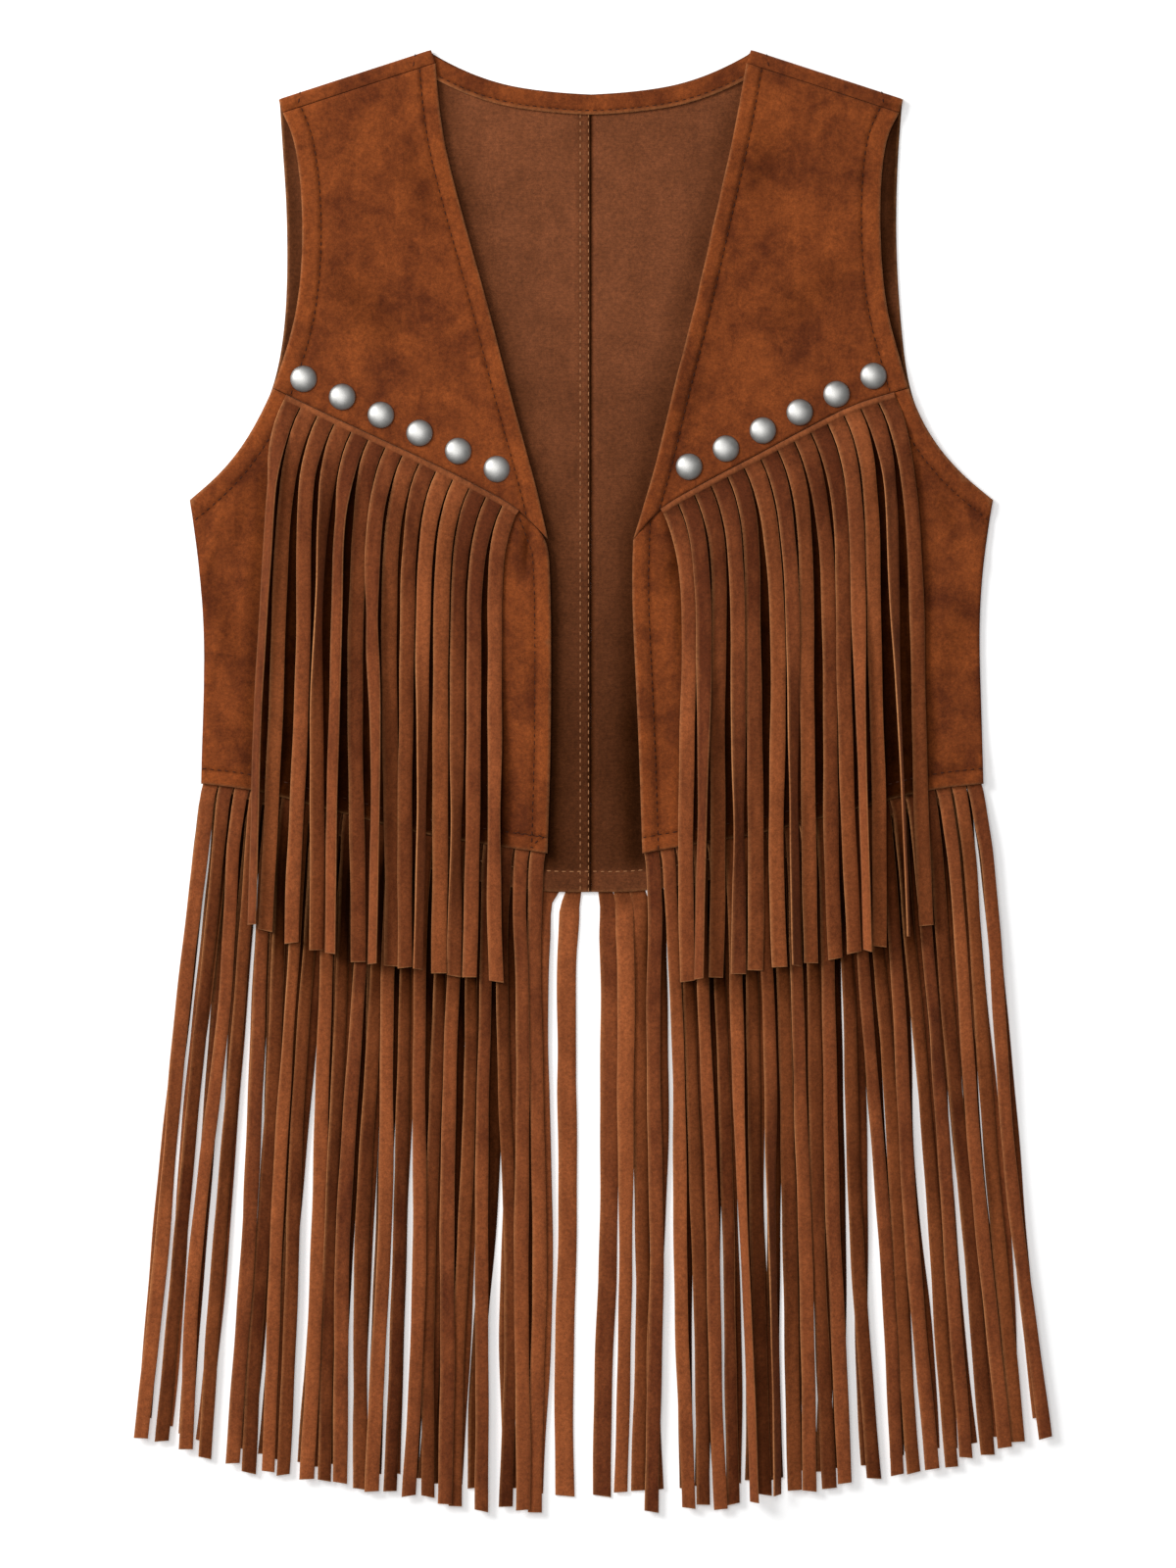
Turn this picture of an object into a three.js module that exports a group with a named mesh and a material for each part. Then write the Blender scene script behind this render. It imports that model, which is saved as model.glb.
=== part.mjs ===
// Western vest of napped suede with fringed chest and hem, laid flat on a table, front up.
// Millimetres, +Z up, +Y towards the neck, +X to the viewer's right. The origin is on the
// table, under the middle of the whole outline with its fringes. Left and right are the
// viewer's. Distances from the centre line are given without their sign.
import * as THREE from "three";

// Thicknesses and clearances
const CLOTH = 1.4;
const STRIP = 1.0;
const AIR = 0.3;
const FRONT_GAP = 0.5;

// Heights of the middle of each layer above the table
const SHOULDER_RADIUS = 1.9;
const BACK_MID = CLOTH / 2;
const SHOULDER_MID = BACK_MID + 2 * SHOULDER_RADIUS;
const FRONT_MID = CLOTH + FRONT_GAP + CLOTH / 2;
const BACK_ROOT_MID = AIR + STRIP / 2;
const BACK_HEM_MID = BACK_ROOT_MID + STRIP / 2 + AIR + CLOTH / 2;
const FRONT_ROOT_MID = BACK_HEM_MID + CLOTH / 2 + AIR + STRIP / 2;
const FRONT_HEM_MID = FRONT_ROOT_MID + STRIP / 2 + AIR + CLOTH / 2;
const STRIP_STEP = STRIP + AIR;

// Shoulder: the back's cloth folds over this line and is sewn to the yoke below it
const NECK_POINT = { x: 89.8, y: 409.8 };
const SHOULDER_TIP = { x: 175.3, y: 382 };
const SHOULDER_RETURN = 8;
const SHOULDER_BLEND = 50;

// Hems: the last stretch is raised clear of the fringe's root beneath it
const HEM_LEVEL = 9;
const FRONT_HEM_BLEND = 16;
const BACK_HEM_BLEND = 11;

// The hide's own unevenness, and how far the fronts billow off the back in broad waves
const BACK_UNEVEN = 0.1;
const FRONT_BILLOW = 0.35;
const BACK_WAVE = { x: 37, y: 29 };
const FRONT_WAVE = { x: 31, y: 43 };

// Back neck facing
const FACING_WIDTH = 11.5;
const FACING_INSET = 0.5;

// Outlines, as distances from the centre line at each height
const FRONT_EDGE = [
  { y: 362, left: 83.3, right: 80.1 },
  { y: 317, left: 72.1, right: 69.9 },
  { y: 264, left: 57.3, right: 57.9 },
  { y: 220, left: 46.1, right: 46.5 },
  { y: 180, left: 35.0, right: 37.2 },
  { y: 148, left: 26.6, right: 27.8 },
  { y: 135, left: 24.2, right: 23.8 },
];
const LOWER_FRONT_EDGE = [
  { y: -41, left: 24.4, right: 28.9 },
  { y: 25, left: 22.6, right: 26.6 },
  { y: 100, left: 22.6, right: 23.3 },
  { y: 134.6, left: 24.2, right: 23.8 },
];
const FRONT_ARMHOLE = [
  { y: 220, left: 178.2, right: 178.0 },
  { y: 243, left: 170.2, right: 171.3 },
  { y: 265, left: 164.9, right: 165.8 },
  { y: 293, left: 162.0, right: 162.8 },
  { y: 328, left: 162.3, right: 162.3 },
  { y: 360, left: 166.6, right: 165.6 },
];
const UNDERARM = [
  { y: 157, left: 225.0, right: 225.5 },
  { y: 176, left: 203.5, right: 203.0 },
  { y: 200, left: 187.6, right: 186.0 },
  { y: 219.6, left: 178.3, right: 178.1 },
];
const SIDE = [
  { y: -2, left: 218.5, right: 220.0 },
  { y: 19, left: 218.1, right: 219.5 },
  { y: 58, left: 216.9, right: 218.4 },
  { y: 85, left: 216.9, right: 217.6 },
  { y: 116, left: 219.4, right: 219.4 },
  { y: 144, left: 222.4, right: 222.2 },
  { y: 157, left: 225.0, right: 225.5 },
];
const BACK_ARMHOLE = [
  { y: 157, left: 225.0, right: 225.5 },
  { y: 176, left: 202.0, right: 201.5 },
  { y: 200, left: 186.5, right: 185.0 },
  { y: 220, left: 177.7, right: 178.0 },
  { y: 254, left: 171.6, right: 174.1 },
  { y: 290, left: 170.3, right: 171.5 },
  { y: 328, left: 171.0, right: 171.3 },
  { y: 360, left: 173.5, right: 172.8 },
];
const YOKE_SEAM = [
  { left: { x: 24.2, y: 135 }, right: { x: 23.8, y: 135 } },
  { left: { x: 40.5, y: 151.8 }, right: { x: 38.3, y: 151.8 } },
  { left: { x: 62.8, y: 164.7 }, right: { x: 63.3, y: 166.7 } },
  { left: { x: 90.8, y: 178.8 }, right: { x: 91.3, y: 181.5 } },
  { left: { x: 118.6, y: 191.7 }, right: { x: 119.2, y: 196.4 } },
  { left: { x: 146.5, y: 204.7 }, right: { x: 147.1, y: 210.3 } },
  { left: { x: 178.2, y: 220 }, right: { x: 178.0, y: 220 } },
];

// Curves that both sides share, by distance from the centre line
const FRONT_HEM = [
  { x: 45, y: -38 },
  { x: 93, y: -30.3 },
  { x: 117, y: -24.4 },
  { x: 158, y: -13.6 },
  { x: 190, y: -5.4 },
];
const BACK_HEM = [
  { x: 0.15, y: -62.7 },
  { x: 30, y: -62.3 },
  { x: 80, y: -53 },
  { x: 130, y: -36 },
  { x: 175, y: -17 },
];
const BACK_NECK = [
  { x: 0.15, y: 384.7 },
  { x: 20, y: 385.9 },
  { x: 45, y: 389.3 },
  { x: 63, y: 394.6 },
  { x: 78, y: 401.2 },
];
const CHEST_TIPS = [
  { x: 50, y: -112.5 },
  { x: 90, y: -107.5 },
  { x: 130, y: -101.5 },
  { x: 160, y: -93.5 },
  { x: 190, y: -81 },
];
const HEM_TIPS = [
  { x: 30, y: -410 },
  { x: 70, y: -407.5 },
  { x: 110, y: -400 },
  { x: 150, y: -394 },
  { x: 190, y: -387 },
  { x: 220, y: -379 },
  { x: 252, y: -368 },
];

// Columns of a yoke and of the lower front, the same so that their edges run side by side
const FRONT_COLUMNS = 12;

// Shares of a panel's edge: the neckline along the back's top, and the side seam along the
// outer edge of the back and of the lower front
const NECK_SHARE = 0.5;
const BACK_SIDE_SHARE = 0.41;
const FRONT_SIDE_SHARE = 0.68;

// Soft folds below each underarm: ridges from one point to another
const FOLDS = [
  { fromX: 221, fromY: 150, toX: 199, toY: 52, width: 9, height: 1.7 },
  { fromX: 204, fromY: 168, toX: 168, toY: 96, width: 9, height: 1.2 },
  { fromX: 213, fromY: 44, toX: 190, toY: 8, width: 10, height: 0.8 },
];

// Fringes: where bunches of strands end, from the centre outwards, and how many each holds
const CHEST_FRINGE = { start: 0.125, end: 0.955, width: 9.0, length: 3, bend: 22, sway: 0.7 };
const CHEST_BUNCHES = {
  left: [
    { strands: 1, from: 47.9, to: 56.7 },
    { strands: 3, from: 62.7, to: 89.7 },
    { strands: 1, from: 94.0, to: 99.0, turn: 54 },
    { strands: 2, from: 100.1, to: 116.6 },
    { strands: 1, from: 118.8, to: 123.8, turn: -56 },
    { strands: 1, from: 126.5, to: 135.9 },
    { strands: 2, from: 141.4, to: 159.5 },
    { strands: 1, from: 162.3, to: 170.5 },
    { strands: 2, from: 178.8, to: 194.7 },
  ],
  right: [
    { strands: 1, from: 49.0, to: 57.2 },
    { strands: 1, from: 59.2, to: 63.2, turn: 58 },
    { strands: 1, from: 64.9, to: 74.8 },
    { strands: 2, from: 77.6, to: 96.2 },
    { strands: 1, from: 101.8, to: 111.6 },
    { strands: 1, from: 112.2, to: 117.7, turn: -55 },
    { strands: 1, from: 118.3, to: 128.1 },
    { strands: 2, from: 133.1, to: 151.2 },
    { strands: 1, from: 152.4, to: 156.0, turn: 60 },
    { strands: 1, from: 156.8, to: 166.6 },
    { strands: 1, from: 171.6, to: 178.8, turn: -40 },
    { strands: 1, from: 183.7, to: 193.0 },
  ],
};
const HEM_FRINGE = { start: 0.004, end: 0.996, width: 8.2, length: 4.5, bend: 8, sway: 1.3 };
const HEM_BUNCHES = {
  left: [
    { strands: 3, from: 25.3, to: 50.1 },
    { strands: 1, from: 58.9, to: 67.1 },
    { strands: 4, from: 70.4, to: 105.1 },
    { strands: 3, from: 107.3, to: 135.9 },
    { strands: 3, from: 138.6, to: 162.8 },
    { strands: 4, from: 170.0, to: 203.5 },
    { strands: 4, from: 211.0, to: 258.2 },
  ],
  right: [
    { strands: 1, from: 31.9, to: 40.2 },
    { strands: 4, from: 50.6, to: 85.3 },
    { strands: 1, from: 88.0, to: 93.0, turn: 55 },
    { strands: 1, from: 93.4, to: 101.6 },
    { strands: 1, from: 102.2, to: 106.9, turn: -57 },
    { strands: 2, from: 111.2, to: 127.1 },
    { strands: 2, from: 128.7, to: 144.7 },
    { strands: 1, from: 152.4, to: 161.7 },
    { strands: 3, from: 168.3, to: 194.2 },
    { strands: 2, from: 199.2, to: 215.5 },
    { strands: 3, from: 218.9, to: 243.1 },
    { strands: 1, from: 248.1, to: 256.3 },
  ],
};
const BACK_CENTRE_BUNCHES = {
  left: [{ strands: 1, from: 10.5, to: 19.3 }],
  right: [{ strands: 3, from: 3.9, to: 30.0 }],
};
const BACK_FRINGE = { start: 0.034, end: 0.996, width: 8.2, length: 4.5, bend: 8, sway: 1.8 };
const BACK_FRINGE_SHORTER = 10;
const ROOT_COVER = 1;
const SLIT_SHARE = 0.07;

// Along one strand: where its root's width ends and where it turns, as shares of its length,
// and the distances between which it climbs into its own layer
const ROOT_SHARE = 0.15;
const TURN_FROM = 0.3;
const TURN_OVER = 0.3;
const CLIMB_FROM = 4;
const CLIMB_OVER = 20;

// Rows of quads down a strand, as shares of its length
const CHEST_ROWS = [0.025, 0.08, 0.17, 0.32, 0.5, 0.66, 0.78, 1];
const FRONT_ROWS = [0.011, 0.07, 0.2, 0.4, 0.6, 0.8, 1];
const BACK_ROWS = [0.011, 0.08, 0.3, 0.55, 0.8, 1];

// Studs: one row of domes on each yoke, above its seam
const STUD = { radius: 7.5, rim: 0.6, height: 3.3, segments: 14, count: 6 };
const STUD_ROWS = {
  left: { inner: { x: 52.8, y: 174.4 }, outer: { x: 161.2, y: 225 } },
  right: { inner: { x: 55, y: 175.7 }, outer: { x: 158.4, y: 226.6 } },
};

const SIDES = [
  { name: "left", sign: -1 },
  { name: "right", sign: 1 },
];
const HIDE = { color: 0x823e1c, roughness: 0.95, metalness: 0 };
const HIDE_INSIDE = { color: 0x693c20, roughness: 0.9, metalness: 0 };
const STUD_METAL = { color: 0xa9a7a1, roughness: 0.35, metalness: 1 };

const vest = new THREE.Group();

function add(name, geometry, look) {
  const mesh = new THREE.Mesh(geometry, new THREE.MeshStandardMaterial(look));
  mesh.name = name;
  vest.add(mesh);
  return mesh;
}

// 1 at or before the start, 0 past the reach, smooth between
function fall(distance, reach) {
  const t = THREE.MathUtils.clamp(distance / reach, 0, 1);
  return (1 - t) * (1 - t) * (1 + 2 * t);
}

// A repeatable value between -1 and 1 for each whole number
function scatter(number) {
  const wave = Math.sin(number * 12.9898 + 4.137) * 43758.5453;
  return 2 * (wave - Math.floor(wave)) - 1;
}

// The y of a table of x and y at a distance from the centre line
function heightAlong(table, x) {
  const next = table.findIndex((row) => row.x >= x);
  if (next === -1) return table[table.length - 1].y;
  if (next === 0) return table[0].y;
  const before = table[next - 1];
  const share = (x - before.x) / (table[next].x - before.x);
  return THREE.MathUtils.lerp(before.y, table[next].y, share);
}

function onSide(side, x, y) {
  return new THREE.Vector2(side.sign * x, y);
}

function edgePoints(table, side) {
  return table.map((row) => onSide(side, row[side.name], row.y));
}

function smooth(points) {
  const curve = new THREE.SplineCurve(points);
  return (t) => curve.getPointAt(t);
}

// Two curves end to end, the first one over the given share of the whole
function joined(first, second, share) {
  return (t) => (t < share ? first(t / share) : second((t - share) / (1 - share)));
}

// A surface between four edges: bottom and top run outwards, inner and outer run upwards
function patch(bottom, top, inner, outer) {
  return (u, v) => {
    const point = bottom(u).multiplyScalar(1 - v);
    point.addScaledVector(top(u), v);
    point.addScaledVector(inner(v), 1 - u);
    point.addScaledVector(outer(v), u);
    point.addScaledVector(bottom(0), -(1 - u) * (1 - v));
    point.addScaledVector(bottom(1), -u * (1 - v));
    point.addScaledVector(top(0), -(1 - u) * v);
    return point.addScaledVector(top(1), -u * v);
  };
}

function steps(from, to, count) {
  return Array.from({ length: count }, (_, i) => from + ((to - from) * (i + 1)) / count);
}

// Points and outward-facing quads of a grid whose columns run away from the centre line
function grid(side, columns, rows, at) {
  const points = rows.flatMap((v) => columns.map((u) => at(u, v)));
  const quads = [];
  for (let row = 0; row + 1 < rows.length; row++) {
    for (let column = 0; column + 1 < columns.length; column++) {
      const corner = row * columns.length + column;
      const above = corner + columns.length;
      quads.push(facing(side, [corner, corner + 1, above + 1, above]));
    }
  }
  return { points, quads };
}

function facing(side, quad) {
  return side.sign > 0 ? quad : quad.reverse();
}

// A closed wall of even thickness about a sheet of quads, standing on the table where it reaches it
function wall({ points, quads }, thickness) {
  const normals = points.map(() => new THREE.Vector3());
  for (const [a, b, c, d] of quads) {
    const across = points[c].clone().sub(points[a]);
    const normal = across.cross(points[d].clone().sub(points[b]));
    for (const corner of [a, b, c, d]) normals[corner].add(normal);
  }
  const position = [];
  for (const half of [thickness / 2, -thickness / 2]) {
    points.forEach((point, i) => {
      const moved = point.clone().addScaledVector(normals[i].normalize(), half);
      position.push(moved.x, moved.y, moved.z < AIR / 2 ? 0 : moved.z);
    });
  }
  const index = [];
  const face = (a, b, c, d) => index.push(a, b, c, a, c, d);
  const rim = new Map();
  for (const quad of quads) {
    const [a, b, c, d] = quad.map((i) => i + points.length);
    face(...quad);
    face(a, d, c, b);
    quad.forEach((from, k) => {
      const to = quad[(k + 1) % 4];
      if (!rim.delete(`${to} ${from}`)) rim.set(`${from} ${to}`, [from, to]);
    });
  }
  for (const [from, to] of rim.values()) face(to, from, from + points.length, to + points.length);
  const geometry = new THREE.BufferGeometry();
  geometry.setAttribute("position", new THREE.Float32BufferAttribute(position, 3));
  geometry.setIndex(index);
  geometry.computeVertexNormals();
  return geometry;
}

// The highest point of a mesh above a place, or nothing where the mesh isn't
function topOf(mesh) {
  const position = mesh.geometry.getAttribute("position");
  const index = mesh.geometry.index;
  const triangles = [];
  for (let i = 0; i < index.count; i += 3) {
    const corners = [0, 1, 2].map((k) =>
      new THREE.Vector3().fromBufferAttribute(position, index.getX(i + k)),
    );
    triangles.push(new THREE.Triangle(...corners));
  }
  return (x, y) => {
    let top = -Infinity;
    for (const { a, b, c } of triangles) {
      const whole = (b.x - a.x) * (c.y - a.y) - (c.x - a.x) * (b.y - a.y);
      if (whole < 1e-9) continue;
      const atB = ((x - a.x) * (c.y - a.y) - (c.x - a.x) * (y - a.y)) / whole;
      const atC = ((b.x - a.x) * (y - a.y) - (x - a.x) * (b.y - a.y)) / whole;
      if (atB < 0 || atC < 0 || atB + atC > 1) continue;
      top = Math.max(top, a.z + atB * (b.z - a.z) + atC * (c.z - a.z));
    }
    return top;
  };
}

// Shoulder line, and the direction across it away from the body
function shoulder(side) {
  const neck = onSide(side, NECK_POINT.x, NECK_POINT.y);
  const tip = onSide(side, SHOULDER_TIP.x, SHOULDER_TIP.y);
  const along = tip.clone().sub(neck).normalize();
  const out = new THREE.Vector2(side.sign * -along.y, side.sign * along.x);
  const inset = (distance) => [neck, tip].map((end) => end.clone().addScaledVector(out, -distance));
  return { out, inset };
}

// Height of a front's middle surface
function frontMid(x, y) {
  const away = Math.abs(x);
  const { inset } = shoulder(SIDES[1]);
  const [neck, tip] = inset(SHOULDER_RETURN + AIR);
  const slope = (tip.y - neck.y) / (tip.x - neck.x);
  const belowShoulder = neck.y + slope * (away - neck.x) - y;
  const aboveHem = y - heightAlong(FRONT_HEM_LINE, away);
  const wave = Math.sin(x / FRONT_WAVE.x + 1.3) * Math.cos(y / FRONT_WAVE.y);
  let height = FRONT_MID + FRONT_BILLOW * (1 + wave);
  height += (SHOULDER_MID - FRONT_MID - FRONT_BILLOW) * fall(belowShoulder, SHOULDER_BLEND);
  height += (FRONT_HEM_MID - FRONT_MID) * fall(aboveHem - HEM_LEVEL, FRONT_HEM_BLEND);
  return height + folds(away, y);
}

// A height that clears a front and its hem, and follows only their larger shapes
function overFront(x, y) {
  const aboveHem = y - heightAlong(FRONT_HEM_LINE, Math.abs(x));
  const rise = (FRONT_HEM_MID - FRONT_MID) * fall(aboveHem - 2 * HEM_LEVEL, 4 * FRONT_HEM_BLEND);
  return FRONT_MID + 2 * FRONT_BILLOW + rise + folds(Math.abs(x), y) + CLOTH / 2 + AIR;
}

function folds(x, y) {
  return FOLDS.reduce((height, fold) => height + fold.height * ridge(fold, x, y), 0);
}

// 0 to 1: how near a place is to a fold's crest, fading to its two ends
function ridge(fold, x, y) {
  const run = new THREE.Vector2(fold.toX - fold.fromX, fold.toY - fold.fromY);
  const place = new THREE.Vector2(x - fold.fromX, y - fold.fromY);
  const along = place.dot(run) / run.lengthSq();
  if (along <= 0 || along >= 1) return 0;
  const aside = place.cross(run) / run.length() / fold.width;
  return Math.sin(Math.PI * along) * Math.exp(-aside * aside);
}

const FRONT_HEM_LINE = [{ x: 24, y: -41 }, ...FRONT_HEM, { x: 219, y: -2 }];
const BACK_HEM_LINE = [...BACK_HEM, { x: 219, y: -2 }];

function frontHemCurve(side) {
  const inner = edgePoints(LOWER_FRONT_EDGE.slice(0, 1), side);
  const outer = edgePoints(SIDE.slice(0, 1), side);
  const between = FRONT_HEM.map(({ x, y }) => onSide(side, x, y));
  return smooth([...inner, ...between, ...outer]);
}

function backHemCurve(side) {
  const outer = edgePoints(SIDE.slice(0, 1), side);
  return smooth([...BACK_HEM.map(({ x, y }) => onSide(side, x, y)), ...outer]);
}

function yokeSeam(side, drop) {
  return smooth(YOKE_SEAM.map((row) => onSide(side, row[side.name].x, row[side.name].y - drop)));
}

function backNeckCurve(side) {
  const [end] = shoulder(side).inset(SHOULDER_RADIUS + CLOTH / 2);
  return smooth([...BACK_NECK.map(({ x, y }) => onSide(side, x, y)), end]);
}

// One half of the back: a flat sheet that rolls over the shoulder and returns on the front
function back(side) {
  const fold = shoulder(side);
  const [neckEnd, tipEnd] = fold.inset(SHOULDER_RADIUS + CLOTH / 2);
  const shoulderStart = (t) => neckEnd.clone().lerp(tipEnd, t);
  const top = joined(backNeckCurve(side), shoulderStart, NECK_SHARE);
  const [low, high] = [BACK_HEM[0], BACK_NECK[0]];
  const centre = (v) => onSide(side, low.x, THREE.MathUtils.lerp(low.y, high.y, v));
  const armhole = smooth([...edgePoints(BACK_ARMHOLE, side), tipEnd]);
  const outer = joined(smooth(edgePoints(SIDE, side)), armhole, BACK_SIDE_SHARE);
  const surface = patch(backHemCurve(side), top, centre, outer);
  const columns = [0, ...steps(0, NECK_SHARE, 6), ...steps(NECK_SHARE, 1, 6)];
  const rows = [0, 0.02, 0.05, ...steps(0.05, BACK_SIDE_SHARE, 4), ...steps(BACK_SIDE_SHARE, 1, 9)];
  const sheet = grid(side, columns, rows, (u, v) => {
    const { x, y } = surface(u, v);
    const aboveHem = y - heightAlong(BACK_HEM_LINE, Math.abs(x));
    const lift = (BACK_HEM_MID - BACK_MID) * fall(aboveHem - HEM_LEVEL, BACK_HEM_BLEND);
    const wave = Math.sin(x / BACK_WAVE.x) * Math.cos(y / BACK_WAVE.y + 0.7);
    const uneven = 0.5 * BACK_UNEVEN * (1 + wave);
    return new THREE.Vector3(x, y, BACK_MID + lift + uneven * fall(v, 1));
  });
  const rolled = [-45, 0, 45, 90].map((degrees) => {
    const angle = THREE.MathUtils.degToRad(degrees);
    return { out: Math.cos(angle), up: 1 + Math.sin(angle) };
  });
  const returned = SHOULDER_RETURN - SHOULDER_RADIUS - CLOTH / 2;
  rolled.push({ out: -returned / SHOULDER_RADIUS, up: 2 });
  const across = columns.length - columns.indexOf(NECK_SHARE);
  let below = sheet.points.length - across;
  for (const { out, up } of rolled) {
    const start = sheet.points.length;
    for (let i = 0; i < across; i++) {
      const base = shoulderStart(i / (across - 1)).addScaledVector(fold.out, out * SHOULDER_RADIUS);
      sheet.points.push(new THREE.Vector3(base.x, base.y, BACK_MID + up * SHOULDER_RADIUS));
      if (i) sheet.quads.push(facing(side, [below + i - 1, below + i, start + i, start + i - 1]));
    }
    below = start;
  }
  return wall(sheet, CLOTH);
}

function yoke(side) {
  const [neck, tip] = shoulder(side).inset(SHOULDER_RETURN + AIR);
  const top = (t) => neck.clone().lerp(tip, t);
  const inner = smooth([...edgePoints(FRONT_EDGE, side).reverse(), neck]);
  const outer = smooth([...edgePoints(FRONT_ARMHOLE, side), tip]);
  const surface = patch(yokeSeam(side, 0), top, inner, outer);
  const columns = [0, ...steps(0, 1, FRONT_COLUMNS)];
  const rows = [0, ...steps(0, 1, 12)];
  const sheet = grid(side, columns, rows, (u, v) => {
    const { x, y } = surface(u, v);
    return new THREE.Vector3(x, y, frontMid(x, y));
  });
  return wall(sheet, CLOTH);
}

function lowerFront(side) {
  const inner = smooth(edgePoints(LOWER_FRONT_EDGE, side));
  const underarm = smooth(edgePoints(UNDERARM, side));
  const outer = joined(smooth(edgePoints(SIDE, side)), underarm, FRONT_SIDE_SHARE);
  const surface = patch(frontHemCurve(side), yokeSeam(side, 1.5 * AIR), inner, outer);
  const columns = [0, ...steps(0, 1, FRONT_COLUMNS)];
  const rows = [0, 0.045, 0.11, ...steps(0.11, FRONT_SIDE_SHARE, 5), ...steps(FRONT_SIDE_SHARE, 1, 4)];
  const sheet = grid(side, columns, rows, (u, v) => {
    const { x, y } = surface(u, v);
    return new THREE.Vector3(x, y, frontMid(x, y));
  });
  return wall(sheet, CLOTH);
}

// A band inside the back neckline, from one shoulder to the other
function neckFacing() {
  const columns = [-1, ...steps(-1, 1, 24)];
  const sheet = grid(SIDES[1], columns, [FACING_WIDTH, FACING_INSET], (u, inset) => {
    const curve = backNeckCurve(SIDES[u < 0 ? 0 : 1]);
    const t = Math.min(Math.abs(u), 0.995);
    const on = curve(t);
    const ahead = curve(t + 0.005).sub(on).normalize().multiplyScalar(u < 0 ? -1 : 1);
    const height = CLOTH + BACK_UNEVEN + AIR + STRIP / 2;
    return new THREE.Vector3(on.x + ahead.y * inset, on.y - ahead.x * inset, height);
  });
  return wall(sheet, STRIP);
}

// Strands of one fringe, from the centre outwards: where each ends and how far it is turned
function strandsOf(bunches) {
  return bunches.flatMap(({ strands, from, to, turn = 0 }) =>
    Array.from({ length: strands }, (_, k) => ({
      x: from + ((to - from) * (k + 0.5)) / strands,
      turn: THREE.MathUtils.degToRad(turn),
    })),
  );
}

// A comb of flat strands: its backing lies along an edge, and each strand runs down from it.
// bed gives the height that the strands lie on. Neighbours lie in two layers, so that they may
// overlap, and a strand turned on its edge lies over both.
function fringe(side, { edge, cut, bunches, tips, rows, cover, bed, rootMid, seed }) {
  const strands = strandsOf(bunches);
  const pitch = (cut.end - cut.start) / strands.length;
  const run = edge(cut.end).sub(edge(cut.start));
  const slant = (side.sign * run.y) / Math.abs(run.x);
  const points = [];
  const quads = [];
  const roots = [];
  strands.forEach((_, i) => {
    for (const share of [i + SLIT_SHARE / 2, i + 1 - SLIT_SHARE / 2]) {
      const t = cut.start + pitch * share;
      const on = edge(t);
      const along = edge(t + 0.002).sub(on).normalize();
      const out = new THREE.Vector2(side.sign * along.y, side.sign * -along.x);
      roots.push({ on, out });
    }
  });
  for (const depth of [-cover - cut.length, -cover]) {
    for (const { on, out } of roots) {
      const { x, y } = on.clone().addScaledVector(out, depth);
      points.push(new THREE.Vector3(x, y, rootMid(x, y)));
    }
  }
  const below = roots.length;
  for (let i = 0; i + 1 < below; i++) {
    quads.push(facing(side, [below + i, below + i + 1, i + 1, i]));
  }
  strands.forEach((strand, i) => {
    const ends = [below + 2 * i, below + 2 * i + 1];
    const course = layStrand(side, {
      from: points[ends[0]].clone().lerp(points[ends[1]], 0.5),
      rootWidth: points[ends[0]].distanceTo(points[ends[1]]),
      layer: strand.turn ? 2 : i % 2,
      number: seed + i,
      slant,
      strand,
      cut,
      tips,
      rows,
      bed,
    });
    let upper = ends;
    for (const pair of course) {
      const lower = [points.length, points.length + 1];
      points.push(...pair);
      quads.push(facing(side, [lower[0], lower[1], upper[1], upper[0]]));
      upper = lower;
    }
  });
  return wall({ points, quads }, STRIP);
}

// The two edges of one strand at each of its rows
function layStrand(side, { from, rootWidth, slant, layer, number, strand, cut, tips, rows, bed }) {
  const reach = from.y - tips(strand.x, number);
  const lean = (distance) => slant * cut.bend * (1 - Math.exp(-distance / cut.bend));
  const drift = side.sign * strand.x - from.x - lean(reach);
  const phase = Math.PI * scatter(number + 0.5);
  const centre = (share) => {
    const distance = share * reach;
    const swing = cut.sway * share * Math.sin(2 * Math.PI * share + phase);
    return new THREE.Vector2(from.x + lean(distance) + drift * share + swing, from.y - distance);
  };
  const course = rows.map((share) => {
    const middle = centre(share);
    const ahead = middle.clone().sub(centre(share - 0.01)).normalize();
    const across = new THREE.Vector2(-ahead.y, ahead.x).multiplyScalar(side.sign);
    const turn = strand.turn * (1 - fall(share - TURN_FROM, TURN_OVER));
    const wide = THREE.MathUtils.lerp(cut.width, rootWidth, fall(share, ROOT_SHARE)) / 2;
    const spread = across.multiplyScalar(wide * Math.cos(turn));
    const raised = wide * Math.sin(turn);
    const climb = 1 - fall(share * reach - CLIMB_FROM, CLIMB_OVER);
    const height = STRIP / 2 + layer * STRIP_STEP * climb + Math.abs(raised);
    return { middle, spread, raised, height, rest: bed(middle, spread) };
  });
  liftClear(course, bed);
  return course.map(({ middle, spread, raised, height, rest }) =>
    [-1, 1].map((end) => {
      const { x, y } = middle.clone().addScaledVector(spread, end);
      return new THREE.Vector3(x, y, rest + height + end * raised);
    }),
  );
}

// Raises the ends of each straight stretch until all of it clears what it lies on
function liftClear(course, bed) {
  for (let i = 0; i + 1 < course.length; i++) {
    for (const share of [0.2, 0.4, 0.6, 0.8]) {
      const middle = course[i].middle.clone().lerp(course[i + 1].middle, share);
      const chord = THREE.MathUtils.lerp(course[i].rest, course[i + 1].rest, share);
      const lack = bed(middle, course[i].spread) - chord;
      if (lack <= 0) continue;
      course[i].rest += lack;
      course[i + 1].rest += lack;
    }
  }
}

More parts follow.
